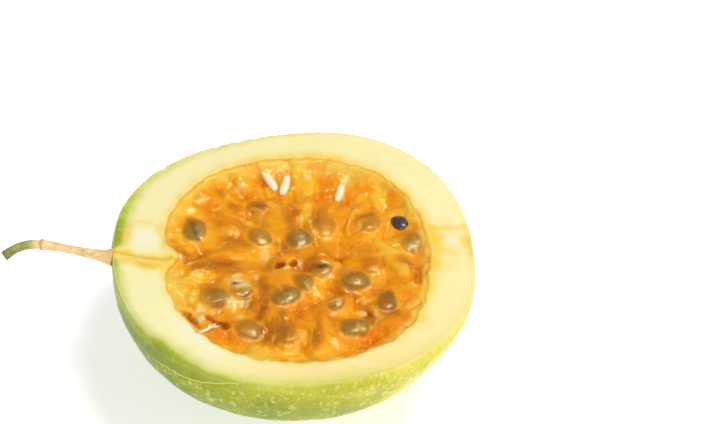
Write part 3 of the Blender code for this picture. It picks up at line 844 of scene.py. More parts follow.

# Places on the heap with a colour of their own, by layer, though the pale layer is partly painted highlight
# and the pit layer painted shade: x, y, half sizes, turn, strength
stains = {
    "tone": (
        (-13.8, 15.2, 1.6, 1.4, -26, -0.5), (-8.6, 14.7, 3.1, 1.8, -23, -0.7),
        (-24.9, 15.6, 2.2, 2.9, 0, 0.5), (-11.2, 22.9, 2.5, 1.9, 0, 0.4),
        (-1.0, 13.8, 2.3, 4.2, -26, -0.6), (-14.0, 5.0, 3.4, 1.9, -19, -0.5),
        (-18.6, 5.8, 2.2, 2.9, 0, 0.3), (1.3, 23.6, 2.2, 3.4, 0, 0.6), (3.4, 12.4, 1.3, 5.0, -10, -0.5),
        (1.6, 15.5, 1.2, 6.6, -8, 0.9), (11.8, 23.6, 1.9, 1.7, 26, 0.9), (18.1, 17.2, 1.3, 5.8, -7, 0.8),
        (15.7, 12.3, 3.0, 1.4, 19, -0.5), (17.6, 6.2, 2.9, 2.9, -13, 0.35), (8.1, 5.5, 1.8, 2.4, 0, 0.35),
        (-23.6, 0.2, 1.8, 2.6, 48, -0.6), (-20.5, -2.1, 4.1, 1.4, 19, -0.8),
        (-16.0, -2.1, 3.6, 1.7, 0, -0.4), (-24.1, -4.5, 1.4, 0.8, 0, -0.7),
        (-22.6, -5.8, 2.8, 1.9, -13, 0.7), (-26.2, -9.9, 1.7, 3.1, 0, 0.8),
        (-20.9, -13.1, 2.2, 2.9, 0, 0.6), (-19.6, -8.1, 2.6, 2.3, 26, -0.5),
        (-18.6, -20.4, 1.2, 2.6, -48, -0.5), (-4.4, -20.4, 2.9, 4.1, 0, -0.85),
        (-7.9, -19.4, 1.0, 2.9, 0, -0.6), (-2.1, -20.9, 1.4, 2.9, 0, 0.4),
        (-11.0, -24.6, 2.5, 1.7, 0, 0.5), (-10.5, 0.2, 2.5, 2.9, 0, 0.4), (-8.0, -9.3, 1.1, 6.2, 0, -0.5),
        (-9.3, -1.4, 2.2, 1.9, 0, -0.3), (4.8, -7.7, 2.5, 3.6, 0, 0.7), (1.7, -2.4, 2.9, 3.4, 0, -0.3),
        (14.7, -1.2, 2.6, 1.8, -26, -0.4), (18.1, -12.1, 1.7, 3.6, 0, -0.8),
        (15.0, -14.9, 2.2, 4.2, -13, -0.6), (9.9, -14.6, 3.0, 1.8, -26, 0.4),
        (2.3, -22.6, 1.4, 3.6, -13, -0.9), (23.4, -14.2, 2.3, 2.3, -26, 0.9),
        (18.6, -19.6, 1.9, 1.0, 37, -0.4), (-1.2, -25.4, 4.3, 1.4, 0, 0.6),
        (8.1, -8.2, 5.4, 2.9, 0, -0.3), (23.9, -5.0, 1.1, 3.7, -26, -0.6),
        (-11.4, -11.2, 1.9, 2.4, 20, -0.7), (18.0, 17.8, 1.2, 4.0, -10, 0.8),
    ),
    "deep": (
        (-4.4, 24.4, 1.3, 1.0, -26, 1.0), (-18.5, 14.7, 2.2, 2.2, 0, 0.8),
        (-11.3, 19.1, 2.2, 1.4, 0, 0.5), (-27.2, 4.8, 0.8, 0.7, 0, 0.9), (6.1, 22.6, 2.2, 2.2, 0, 0.9),
        (5.7, 16.8, 1.6, 1.8, 0, 0.6), (14.1, 20.4, 2.8, 2.9, 0, 0.6), (22.0, 17.2, 2.2, 3.8, -13, 0.7),
        (11.3, 17.4, 1.6, 3.2, -26, 0.6), (-16.5, -19.9, 2.6, 2.8, -26, 0.6),
        (-16.5, 1.8, 2.5, 1.4, 0, 0.3), (0.7, -14.1, 4.1, 1.7, 13, 0.5), (14.2, -21.9, 3.0, 2.4, 19, 1.2),
        (22.4, -10.8, 1.1, 2.9, 0, 0.8), (17.8, -18.4, 3.5, 1.8, 32, 0.7),
    ),
    # pale membranes, and painted highlights on wet sacs and seeds
    "pale": (
        (-12.2, 21.1, 1.7, 1.6, 0, 0.7), (-15.2, 18.1, 0.8, 1.0, 0, 0.6), (-20.3, 16.4, 0.6, 1.0, 0, 0.6),
        (-10.0, 21.4, 0.4, 1.9, -7, 0.4), (-15.2, 7.7, 2.5, 1.2, 0, 0.4), (-7.4, 2.0, 1.8, 1.9, 0, 0.75),
        (12.8, 8.6, 0.7, 1.7, -26, 0.6), (20.4, 12.3, 1.2, 0.8, 13, 0.6),
        (24.2, 10.8, 1.1, 0.8, -43, 0.5), (16.6, 6.3, 2.5, 0.6, -13, 0.3), (5.5, 6.3, 1.0, 2.2, 0, 0.45),
        (-25.0, -7.7, 1.7, 1.2, -26, 0.5), (-23.3, -10.8, 2.2, 2.4, 0, 0.6),
        (-13.2, -6.7, 3.2, 1.9, -23, 0.95), (-14.5, -12.1, 1.6, 2.2, 0, 0.95),
        (-13.0, -15.6, 1.4, 1.2, 0, 0.7), (-21.4, -13.8, 2.3, 1.6, 43, 0.8),
        (-21.3, -16.2, 1.3, 2.0, 13, 0.9), (-7.4, 1.5, 1.3, 1.9, 0, 0.5), (5.2, -1.6, 1.2, 0.5, -32, 1.1),
        (1.4, -8.0, 0.4, 1.3, 37, 0.8), (16.4, -4.7, 2.4, 2.0, -13, 0.45),
        (20.0, -11.2, 0.5, 2.6, 13, 0.5), (15.2, -14.2, 0.6, 2.8, 37, 0.6),
        (14.1, -10.7, 1.3, 0.7, 13, 0.8), (15.5, -16.9, 0.5, 1.8, -26, 0.6),
        (7.3, -11.8, 2.0, 0.4, 10, 0.6), (6.7, -23.1, 2.0, 1.2, -26, 0.75),
        (-0.4, -20.6, 1.3, 1.4, 0, 0.6), (1.6, -21.6, 0.2, 2.9, -13, 0.5),
        (23.2, -7.8, 1.2, 0.8, -13, 0.7), (2.2, 24.0, 1.2, 1.8, 0, 0.9), (10.4, 22.8, 1.0, 2.4, -20, 0.9),
        (12.4, 24.4, 3.4, 0.9, -25, 0.5), (17.6, 20.6, 3.2, 0.8, -40, 0.45),
        (22.2, 15.8, 2.6, 0.8, -55, 0.4), (-26.3, -9.2, 1.2, 2.2, 0, 0.4),
    ),
    "dark": (
        (-11.4, -11.2, 1.6, 2.0, 20, 0.2), (-8.1, 14.6, 1.4, 0.8, -28, 0.45),
        (-22.3, 8.0, 0.7, 3.0, 25, 0.6), (15.4, 12.2, 2.3, 0.8, 26, 0.4), (4.8, 11.7, 1.3, 2.4, -13, 0.3),
        (-20.7, 1.2, 1.6, 0.8, -37, 0.55), (-13.9, -6.8, 1.2, 0.7, -16, 1.0),
        (-17.1, -10.3, 2.5, 2.6, 0, 0.2), (4.3, -2.9, 1.6, 0.7, -7, 1.0),
        (0.7, -8.1, 1.2, 1.3, -48, 0.35), (21.7, -1.6, 1.7, 0.7, -48, 0.25),
        (18.4, -12.2, 1.0, 2.4, 0, 0.3), (7.3, -13.1, 1.8, 0.7, 10, 0.45),
    ),
    # painted shade in gaps and holes of the heap
    "pit": (
        (-23.7, -14.8, 1.1, 0.6, -48, 0.6), (-22.0, -17.4, 1.3, 0.5, -53, 0.5),
        (-19.6, -15.9, 1.0, 0.7, 57, 0.6), (-17.2, -16.6, 2.3, 0.8, -19, 0.75),
        (12.0, -23.9, 1.7, 0.6, 13, 0.5), (14.1, -21.7, 1.8, 1.4, 20, 0.4),
    ),
}

# Broad patches of the heap that are yellower or more amber: x, y, half width, tone
patches = (
    (-22.0, -8.0, 6.0, 0.35), (-23.0, 12.0, 5.0, 0.3), (17.0, 18.0, 6.0, 0.2), (6.0, -22.0, 5.0, 0.2),
    (-5.0, 20.0, 9.0, 0.25), (0.0, 2.0, 12.0, -0.25), (-15.0, -2.0, 6.0, -0.15), (-6.0, -17.0, 6.0, -0.25),
    (12.0, -10.0, 7.0, -0.15), (-10.0, -24.5, 3.5, 0.4), (1.0, -24.8, 3.5, 0.3), (24.5, -12.0, 3.5, 0.5),
)
pulpLayers = ("deep", "pale", "dark", "pit", "seed", "grey", "lit", "shine", "rim")
farBelow = -30.0  # height of a sac where it isn't


def heapTop(y):  # the heap sinks towards the back wall
    front, back = pulpShape["heapDrop"], pulpShape["backDrop"]
    return -front - (back - front) * smoothStep(y, pulpShape["backStarts"], pulpShape["backEnds"])


def bowlEdge(angle):  # the hollow's radius at the heap's back edge, without the ragged part
    return float(bowlRadius(angle, pulpShape["backDrop"]))


def sacLayout():
    # Sacs round the seeds that show, then between them: each of the rest takes the emptiest of
    # several random places and points at the axis; those at the wall lean up on it
    shape = pulpShape
    sacs = [(x, y, radians(turn), 0.0, size) for x, y, turn, size, show, grey in shownSeeds]
    draw = random.Random(shape["fillSeed"])
    for _ in range(shape["fillSacs"]):
        mostRoom = 0.0
        for _ in range(shape["fillTries"]):
            angle = draw.uniform(0, 2 * pi)
            share = draw.random() ** 0.5
            radius = share * (bowlEdge(angle) - shape["fillWallGap"])
            x, y = radius * cos(angle), radius * sin(angle)
            room = min(hypot(x - sac[0], y - sac[1]) for sac in sacs)
            if room > mostRoom:
                mostRoom = room
                lean = radians(shape["fillPitch"]) * float(smoothStep(share, shape["leanStarts"], 1))
                best = [x, y, angle, lean]
        best[2] += draw.gauss(0, shape["fillStray"])
        sacs.append((*best, 1 + draw.uniform(-shape["fillUneven"], shape["fillUneven"])))
    return sacs


def backSacs():  # wide sacs that hang side by side along the back wall
    shape = pulpShape
    draw = random.Random(shape["backSeed"])
    rows = []
    for number in range(shape["backSacs"]):
        angle = radians(shape["backFirst"] + shape["backStep"] * number + draw.uniform(-4, 4))
        wall = bowlEdge(angle)
        lean = angle + draw.uniform(-0.3, 0.3)
        radius = draw.uniform(1.6, 2.8)
        x, y, z = wall * cos(angle), wall * sin(angle), draw.uniform(-2.2, -1.0) - radius
        length = draw.uniform(4.0, 8.0)
        inner = (x - length * cos(lean), y - length * sin(lean), -2.5 - radius, radius * 0.9)
        rows.append((((x, y, z, radius), inner), draw.uniform(-0.3, 0.4)))
    return tuple(rows)


def dome(x, y, turn, halfSize, point):
    # Top of an egg: height * sqrt(1 - u^2 - v^2), with u along and v across it, narrower towards its
    # outer end; returns that height, u^2 + v^2 and the distance along it
    along, across = turned(x, y, turn)
    u = along / halfSize[0]
    v = across / (halfSize[1] * (1 - point * np.clip(u, -1, 1)))
    q = u * u + v * v
    return halfSize[2] * np.sqrt(np.clip(1 - q, 0, 1)), q, along


def heapField(x, y):
    # What the steps of the relief share: the places, the same places shifted by noise so that no
    # outline is a true oval, and how far each is from the axis, the wall and the front
    flat = asPoints(x, y, 0)
    wanderX, wanderY = x + noiseSum(flat, heapNoise["wanderX"]), y + noiseSum(flat, heapNoise["wanderY"])
    angle, radius = np.arctan2(y, x), np.hypot(x, y)
    outer = smoothStep(radius, 9, 16)
    # Streaks run towards the axis in the outer part, and from side to side in the middle
    spokes = asPoints(22 * np.cos(angle), 22 * np.sin(angle), radius * 0.4)
    level = asPoints(wanderX * 0.55, wanderY, 0)
    return SimpleNamespace(
        x=x, y=y, flat=flat, wanderX=wanderX, wanderY=wanderY, wander=asPoints(wanderX, wanderY, 0),
        nearX=(x + wanderX) / 2, nearY=(y + wanderY) / 2, outer=outer, spokes=spokes, level=level,
        share=np.clip(radius / hollowEdge(angle), 0, 1), toWall=hollowEdge(angle) - radius,
        atBack=smoothStep(y, 6, 14))


def heapParts(field):  # height and tone of the core, the bank at the wall, and each sac, seed and string
    shape = pulpShape
    core = shape["coreTop"] - shape["coreSag"] * field.share**2 + noiseSum(field.flat, heapNoise["core"])
    bank = shape["bankTop"] - shape["bankBackDrop"] * field.atBack - shape["bankSlope"] * field.toWall
    # The core, seen only between the sacs, has a darker amber tone as painted shade; the bank at the wall a
    # yellower one
    heights, tones, seeds = [core, bank + noiseSum(field.flat, heapNoise["bank"])], [-0.4, 0.35], []
    draw = random.Random(5)
    for number, (sx, sy, turn, pitch, size) in enumerate(sacLayout()):
        withSeed = number < len(shownSeeds)
        skin = [part * size * spread for part, spread in zip(shape["sac"], shape["sacSpread"])]
        height, q, along = dome(field.wanderX - sx, field.wanderY - sy, turn, skin, shape["sacPoint"])
        top = float(heapTop(sy)) + (shape["shownRise"] if withSeed else draw.uniform(*shape["fillRise"]))
        tiltX, tiltY = (draw.uniform(-shape["tilt"], shape["tilt"]) for _ in range(2))
        tilt = tiltX * (field.x - sx) + tiltY * (field.y - sy) + sin(pitch) * along * 0.8
        heights.append(np.where(q < 1, top - skin[2] + height + tilt, farBelow))
        tones.append(draw.uniform(-0.15, 0.3))
        if withSeed:
            body = [part * size for part in shape["seed"]]
            height, q, along = dome(field.nearX - sx, field.nearY - sy, turn, body, shape["seedPoint"])
            heights.append(np.where(q < 1, top + shape["seedShows"] - body[2] + height + tilt, farBelow))
            tones.append(tones[-1])
            seeds.append((len(heights) - 1, q, shownSeeds[number]))
    for route, tone in strings + backSacs():
        path = smoothRoute(route, 2 if len(route) == 2 else 9)
        distance, along = lineDistance(field.wanderX, field.wanderY, path[:, :2])
        place = np.linspace(0, 1, len(path))
        middle, thick = np.interp(along, place, path[:, 2]), np.interp(along, place, path[:, 3])
        height = middle + np.sqrt(np.clip(thick**2 - distance**2, 0, None))
        heights.append(np.where(distance < thick, height, farBelow))
        tones.append(tone)
    return np.stack(heights), np.array(tones), seeds


def raiseTo(layers, key, values):  # a layer takes the values where they are more than its own
    layers[key] = np.maximum(layers[key], values)


def paintHeap(field, layers):  # patches, streaks and stains
    for px, py, width, strength in patches:
        layers["tone"] += strength * bell(np.hypot(field.x - px, field.y - py), width)
    layers["tone"] += field.outer * noiseSum(field.spokes, heapNoise["spokes"])
    layers["tone"] += (1 - field.outer) * noiseSum(field.level, heapNoise["level"])
    behind = smoothStep(field.y, 4, 14)
    layers["deep"] += 0.7 * smoothStep(noiseSum(field.flat, heapNoise["deep"]), 0.1, 0.6) * behind
    x = field.nearX + noiseSum(field.flat, heapNoise["stainX"])
    y = field.nearY + noiseSum(field.flat, heapNoise["stainY"])
    for key, marks in stains.items():
        for px, py, halfX, halfY, turn, strength in marks:
            along, across = turned(x - px, y - py, radians(turn))
            spread = strength * np.exp(-((along / halfX) ** 2 + (across / halfY) ** 2) ** 1.5)
            if key == "tone":
                layers[key] += 1.4 * spread
            else:
                raiseTo(layers, key, spread)


def paintSeeds(field, layers, weight, seeds):
    # Darker above and paler below as painted shade and light, greyer below, with a pale rim that is stronger
    # below as a painted highlight and a painted highlight spot
    def grain(cell, seed):
        return noise(field.flat, cell, seed)

    for owner, q, (sx, sy, turn, size, show, grey) in seeds:
        dx, dy = field.x - sx, field.y - sy
        mine = np.clip(weight[owner] + weight[owner - 1], 0, 1)  # the seed and its sac
        q = q + 0.16 * grain(1.6, 90 + owner)
        lower = (dx * 0.35 - dy * 0.85) / (2.4 * size)
        upper = np.clip(0.3 - lower, 0, 1)
        body = smoothStep(q, 1.12 + 0.3 * upper, 0.8 - 0.65 * upper)
        here = body * mine * show * (0.85 + 0.25 * np.clip(lower, -1, 1))
        # Painted light and shade: each seed is lighter towards its lower side
        light = np.clip(0.5 + 0.5 * lower + 0.3 * grain(1.2, 120 + owner), 0, 1)
        raiseTo(layers, "seed", here)
        layers["grey"] = np.where(here > 0.02, grey, layers["grey"])
        layers["lit"] = np.where(here > 0.02, light, layers["lit"])
        # A painted highlight spot towards the seed's lower right
        spot = bell(np.hypot(dx - 0.9 * size, (dy + 0.6 * size) * 1.1), 0.8 * size)
        raiseTo(layers, "shine", spot * (0.6 + grain(0.9, 150 + owner)) * min(show, 1) * grey)
        # A pale rim round the seed, made stronger on its lower side as a painted highlight
        around = bell(np.sqrt(np.clip(q, 0, None)) - 1.12, 0.1)
        around = around * np.clip(0.2 + 0.7 * lower + grain(1.8, 180 + owner), 0, 1)
        raiseTo(layers, "rim", around * mine * min(show, 1))


def wrinkle(field, layers, z):  # fine relief, folds, membranes and pits; calmer over the seeds
    shape, flat, outer = pulpShape, field.flat, field.outer
    calm = 1 - shape["calm"] * np.clip(layers["seed"], 0, 1)
    fine = outer * noiseSum(field.spokes, heapNoise["spokeGrain"])
    fine += (1 - outer) * noiseSum(field.level, heapNoise["levelGrain"])
    z = z + (fine + noiseSum(flat, heapNoise["grain"])) * calm
    for cell, seed, showSeed in shape["folds"]:  # they lie where a slow noise crosses zero, here and there
        crossing = smoothStep(np.abs(noise(field.wander, cell, seed)), 0.1, 0.0)
        fold = crossing * smoothStep(noise(flat, shape["foldCell"], showSeed), 0.05, 0.45) * calm
        z = z + shape["foldRise"] * fold
        # the fold ridges are paler, partly as painted highlight
        raiseTo(layers, "pale", shape["foldPaleness"] * fold)
    x = field.wanderX + noiseSum(flat, heapNoise["membraneX"])
    y = field.wanderY + noiseSum(flat, heapNoise["membraneY"])
    uneven = 1 + noiseSum(flat, heapNoise["membraneWidth"])
    cloudy = 0.6 + noiseSum(flat, heapNoise["membranePaleness"])
    for x0, y0, x1, y1, halfWidth, lift, strength in membranes:
        distance, along = lineDistance(x, y, ((x0, y0), (x1, y1)))
        width = halfWidth * (0.45 + 0.7 * np.sin(pi * along)) * uneven
        z = z + shape["membraneRise"] * lift * bell(distance, width)
        # the membranes' paleness, partly painted highlight
        raiseTo(layers, "pale", strength * cloudy * bell(distance, width * 1.2))
    # holes, darkened inside as painted shade
    for x0, y0, x1, y1, halfWidth, depth, dark in pits:
        distance = lineDistance(field.nearX, field.nearY, ((x0, y0), (x1, y1)))[0]
        hole = smoothStep(distance, halfWidth * 1.3, halfWidth * 0.3)
        z = z - depth * hole
        raiseTo(layers, "pit", hole * dark)
    return z + noiseSum(field.wander, heapNoise["backLumps"]) * smoothStep(field.y, 8, 14) * calm


def finishWall(field, layers, z):  # the torn left side, and the pulp that climbs the wall and pales there
    flat, atBack, toWall = field.flat, field.atBack, field.toWall
    nearWall = np.clip(toWall, 0, None)
    tornX, tornY, width, rise = pulpShape["torn"]
    torn = bell(np.hypot(field.x - tornX, field.y - tornY), width)
    z = z + torn * (rise + noiseSum(field.wander, heapNoise["torn"]))
    z = z + (0.5 + 0.9 * atBack + 0.3 * smoothStep(field.x, 12, 22)) * bell(nearWall, 1.2)
    tongues = bell(nearWall, 1.8) * (0.3 + 0.7 * atBack)
    frontTone = noiseSum(flat, heapNoise["wallTone"]) * bell(toWall, 3.0) * (1 - atBack)
    layers["tone"] += 0.9 * tongues + frontTone
    raiseTo(layers, "pale", tongues * smoothStep(noise(flat, 2.6, 99), -0.1, 0.5) * 0.5)
    atRight = bell(toWall - 1.0, 2.6) * smoothStep(field.x, 8, 20) * (1 - atBack)
    raiseTo(layers, "deep", 0.8 * atRight * smoothStep(noise(flat, 3.4, 93), -0.4, 0.3))
    return z


def pulpRelief(x, y):
    # The heap's top: the highest of all its parts at each place, melted together by
    # melt * log(sum(exp(height / melt))), then wrinkled; a soft cap keeps it below the cut face
    shape = pulpShape
    field = heapField(x, y)
    heights, tones, seeds = heapParts(field)
    melt = shape["melt"] + (shape["backMelt"] - shape["melt"]) * smoothStep(y, 8, 16)
    highest = heights.max(axis=0)
    weight = np.exp((heights - highest) / melt)
    total = weight.sum(axis=0)
    weight /= total
    layers = {key: np.zeros_like(x) for key in pulpLayers}
    layers["tone"] = np.tensordot(tones, weight, 1)
    paintHeap(field, layers)
    paintSeeds(field, layers, weight, seeds)
    z = wrinkle(field, layers, highest + melt * np.log(total))
    z = finishWall(field, layers, z)
    cap, soft = shape["cap"], shape["capSoft"]
    return cap - soft * np.log1p(np.exp((cap - z) / soft)), layers


def discGrid(cells):
    # Square onto disc: rings of the square become rings of the disc, and each side of the square takes
    # a quarter turn; gives each point's share of the radius and its angle
    side = np.linspace(-1, 1, cells + 1)
    a, b = np.meshgrid(side, side)
    wide = np.abs(a) > np.abs(b)
    safeA = np.where(wide, a, 1)
    safeB = np.where(wide, 1, np.where(b == 0, 1, b))
    radius = np.where(wide, a, b)
    angle = np.where(wide, (pi / 4) * (b / safeA), pi / 2 - (pi / 4) * (a / safeB))
    angle = np.where(radius < 0, angle + pi, angle) % (2 * pi)
    return np.abs(radius), angle


def blurred(values, steps):  # mean of each point and its four neighbours, over and over
    for _ in range(steps):
        wide = np.pad(values, 1, mode="edge")
        values = (wide[:-2, 1:-1] + wide[2:, 1:-1] + wide[1:-1, :-2] + wide[1:-1, 2:] + values) / 5
    return values


pulpColours = {  # of two colours the first is painted shade or faint, the second painted light or strong
    "tones": ((0.0, "be6e08"), (0.25, "d98306"), (0.5, "f09a08"), (0.75, "fdac16"), (1.0, "ffc238")),
    "deep": "f28a04",
    "rim": "fcd07c",
    "brownSeed": ("8c5612", "a07024"),
    "greySeed": ("684c1c", "887a40"),
    "shine": "e4d29c",
    "pale": ("ffca40", "fff0bc"),
    "skirt": "fdd468",
    "dark": "4c3428",
    "pit": "9e3a0a",
}


def pulpMaterial():
    material, wire = newMaterial("pulp", {
        "Subsurface Weight": 0.6,
        "Subsurface Radius": (0.85, 0.65, 0.25),
        "Subsurface Scale": 1.0 * mm,
        "Coat Roughness": 0.07,
        "Coat IOR": 1.35,
        "Specular IOR Level": 0.5,
        "Specular Tint": (1.0, 0.75, 0.3, 1.0),
    })
    tints = pulpColours
    place = wire.place()
    fine, broad = place.noise(1.1, 3.0), place.noise(3.2, 2.0)
    tone = wire.layer("tone") * 0.5 + 0.52 + (fine - 0.5) * 0.18 + (broad - 0.5) * 0.25
    deep = wire.layer("deep") + (fine - 0.5) * 0.3
    # painted light and shade across each seed, lighter on its lower side
    lit = (wire.layer("lit") + (fine - 0.5) * 0.5).rise(0.1, 0.9)
    seed = wire.layer("grey").rise(0.0, 0.9).mix(lit.mix(*tints["brownSeed"]), lit.mix(*tints["greySeed"]))
    pale = (wire.layer("pale") * (fine * 0.8 + 0.6)).clamp()
    # the tone is darkened in the creases as painted shade
    flesh = paintOver((tone - wire.layer("cleft").rise(0.2, 1.4) * 0.25).ramp(tints["tones"]), (
        (deep.rise(0.1, 0.9) * 0.8, tints["deep"]),
        # pale rim round the seeds, partly painted highlight
        ((wire.layer("rim") * 0.65).clamp(), tints["rim"]),
        # painted highlight spot on the seeds
        ((wire.layer("seed") * 0.8).clamp(), seed),
        ((wire.layer("shine") * 0.65).clamp(), tints["shine"]),
        # pale membranes and cream, with painted highlights
        (pale * 0.85, pale.rise(0.35, 1.15).mix(*tints["pale"])),
        ((wire.layer("skirt") * (fine * 0.4 + 0.7)).clamp(), tints["skirt"]),
        ((wire.layer("dark") * 0.9).clamp(), tints["dark"]),
        # painted shade in the holes
        (wire.layer("pit").rise(0.05, 0.95), tints["pit"]),
    ))
    feed(material, {
        "Base Color": flesh,
        "Roughness": fine * 0.1 + 0.24,
        "Coat Weight": broad * 0.5 + 0.1,
        "Normal": fine.bump(0.16, 0.4),
    })
    return material


def makePulp():
    shape = pulpShape
    intoWall, floor = shape["intoWall"], hollow["depth"] - shape["fitGap"]
    share, angle = discGrid(shape["cells"])
    # The relief is worked out twice, as the wall that it reaches depends on its height
    radius = share * hollowRadius(angle, shape["backDrop"])
    z = pulpRelief(radius * np.cos(angle), radius * np.sin(angle))[0]
    radius = share * (hollowRadius(angle, np.clip(-z, 0, 8)) + intoWall)
    z, layers = pulpRelief(radius * np.cos(angle), radius * np.sin(angle))
    top = asPoints(radius * np.cos(angle), radius * np.sin(angle), z)
    flat = top * (1, 1, 0)
    # Painted shade: how far the heap lies below its blurred self, which darkens the colour in the creases
    layers["cleft"] = np.clip(blurred(z, shape["creaseShadeBlur"]) - z, -1, 3)
    fromWall = np.clip((1 - share) * radius / np.maximum(share, 0.1) - intoWall, 0, None)
    ragged = fromWall + noiseSum(flat, heapNoise["skirtEdge"]) * smoothStep(fromWall, 0, 1)
    skirt = bell(ragged, aroundTable(angle, shape["skirt"])) * (0.35 + 0.65 * smoothStep(fromWall, 0.1, 0.6))
    layers["skirt"] = skirt * (0.8 + noiseSum(flat, heapNoise["skirt"]))
    # The sides hang from the square's outline, from low on the wall up to just under the heap's edge
    count = shape["cells"] + 1
    index = np.arange(count * count).reshape(count, count)
    loop = np.concatenate([index[0, :-1], index[:-1, -1], index[-1, :0:-1], index[:0:-1, 0]])
    ring = top.reshape(-1, 3)[loop]
    ringAngle = np.arctan2(ring[:, 1], ring[:, 0])
    up = np.linspace(1, 0, shape["sideRows"] + 2)[1:-1, None]
    drop = -ring[:, 2] + (floor * hollow["lowest"] + ring[:, 2]) * (1 - (1 - up) ** 1.5)
    inset = intoWall - (intoWall + shape["fitGap"]) * smoothStep(drop, 5.5, 9.0)
    low = hollowRadius(ringAngle, drop * hollow["depth"] / floor) + inset
    sides = asPoints(low * np.cos(ringAngle), low * np.sin(ringAngle), -drop)
    points = np.vstack([top.reshape(-1, 3), sides.reshape(-1, 3), (0, 0, -floor)])
    rows, columns = sides.shape[:2]
    lowest = count * count + np.arange(columns)
    highest = lowest + (rows - 1) * columns
    bottom = np.full(columns, len(points) - 1)
    faces = gridFaces(count, count, False).tolist()
    faces += (gridFaces(rows, columns, True) + count * count).tolist()
    faces += np.stack([highest, np.roll(highest, -1), np.roll(loop, -1), loop], axis=-1).tolist()
    faces += np.stack([bottom, np.roll(lowest, -1), lowest], axis=-1).tolist()
    values = {key: np.concatenate([layer.ravel(), np.tile(layer.ravel()[loop], rows), [0.0]])
              for key, layer in layers.items()}
    putMesh("pulp", points, faces, pulpMaterial(), "seed_pulp", values)


# Small pieces on the heap

looseSeed = {
    "place": (22.0, 10.3),
    "turn": 148,  # degrees
    "lean": 12,
    "halfSize": (2.5, 2.0, 1.3),
    "rise": -0.8,
    "taper": 0.15,
    "pitDepth": 0.05,
    "rings": 40,
    "sides": 56,
    "colours": ("33241f", "5d4038"),
}
ovules = {
    "ends": (((-7.7, 24.8), (-4.6, 19.9)), ((-2.0, 24.3), (-3.4, 18.7)), ((9.6, 21.8), (8.4, 16.8))),
    "radius": 0.92,
    "sink": 0.7,
    "bend": 0.25,
    "uneven": 0.06,
    "rings": 24,
    "sides": 20,
    "cream": ("fdeabc", "fff8dc"),
    "rootColour": "fbc95c",
}
fibres = (  # points with their radius
    (
        (-21.8, -20.9, -0.3, 0.24), (-20.6, -20.5, 0.0, 0.3), (-19.2, -19.6, -0.1, 0.27),
        (-18.1, -17.9, -0.9, 0.12),
    ),
    ((-19.9, -20.1, 0.0, 0.16), (-19.4, -19.1, 0.0, 0.2), (-19.2, -18.2, -0.6, 0.1)),
    ((-18.9, -19.3, -0.2, 0.14), (-18.0, -19.0, -0.5, 0.14), (-17.4, -18.4, -1.1, 0.08)),
)
fibreRings, fibreSides = 30, 10


def heapHeight(x, y):
    return float(pulpRelief(np.array([[x]]), np.array([[y]]))[0][0, 0])


def seedMaterial():
    material, wire = newMaterial("bareSeed", {"Roughness": 0.35, "Coat Weight": 0.8, "Coat Roughness": 0.15})
    spots = wire.place().noise(0.7, 2.0)
    feed(material, {
        "Base Color": spots.rise(0.35, 0.7).mix(*looseSeed["colours"]),
        "Normal": spots.bump(0.15, 0.8),
    })
    return material


def makeLooseSeed():
    # Flattened egg with small pits: the radius is 1 less a little where a wave pattern dips
    shape = looseSeed
    x, y = shape["place"]
    long = shape["halfSize"][0]
    lat = np.linspace(-pi / 2, pi / 2, shape["rings"] + 2)[1:-1, None]
    lon = np.linspace(0, 2 * pi, shape["sides"], endpoint=False)[None, :]
    unit = asPoints(np.sin(lat), np.cos(lat) * np.cos(lon), np.cos(lat) * np.sin(lon))
    pitted = 1 - shape["pitDepth"] * np.clip(noise(unit, 0.3, 81), -0.2, 1)
    body = unit * (np.array(shape["halfSize"]) * pitted[..., None])
    body[..., 1] *= 1 - shape["taper"] * unit[..., 0]
    points, faces = closeEnds(body, [(-long, 0, 0), (long, 0, 0)])
    lean = Matrix.Rotation(radians(shape["turn"]), 3, "Z") @ Matrix.Rotation(radians(shape["lean"]), 3, "X")
    points = points @ np.array(lean).T + (x, y, heapHeight(x, y) + shape["rise"])
    putMesh("bare_seed", points, faces, seedMaterial())


def ovuleMaterial():
    material, wire = newMaterial("ovule", {
        "Roughness": 0.35,
        "Subsurface Weight": 0.3,
        "Subsurface Radius": (1.0, 0.8, 0.5),
        "Subsurface Scale": 1.0 * mm,
        "Coat Weight": 0.6,
        "Coat Roughness": 0.2,
    })
    cream = wire.place().noise(1.5, 2.0).rise(0.3, 0.6).mix(*ovules["cream"])
    fading = 1 - wire.layer("along").rise(0.0, 0.35)
    feed(material, {"Base Color": (fading * 0.8).mix(cream, ovules["rootColour"])})
    return material


def putTubes(name, tubes, material):  # closed tubes as one piece, with the share of the way along each
    allPoints, allFaces, allAlong, offset = [], [], [], 0
    for grid, centre in tubes:
        points, faces = closeEnds(grid, centre[[0, -1]])
        allPoints.append(points)
        allAlong.append(np.append(np.repeat(np.linspace(0, 1, len(grid)), grid.shape[1]), (0, 1)))
        allFaces += [[corner + offset for corner in face] for face in faces]
        offset += len(points)
    values = {"along": np.concatenate(allAlong)}
    putMesh(name, np.vstack(allPoints), allFaces, material, None, values)


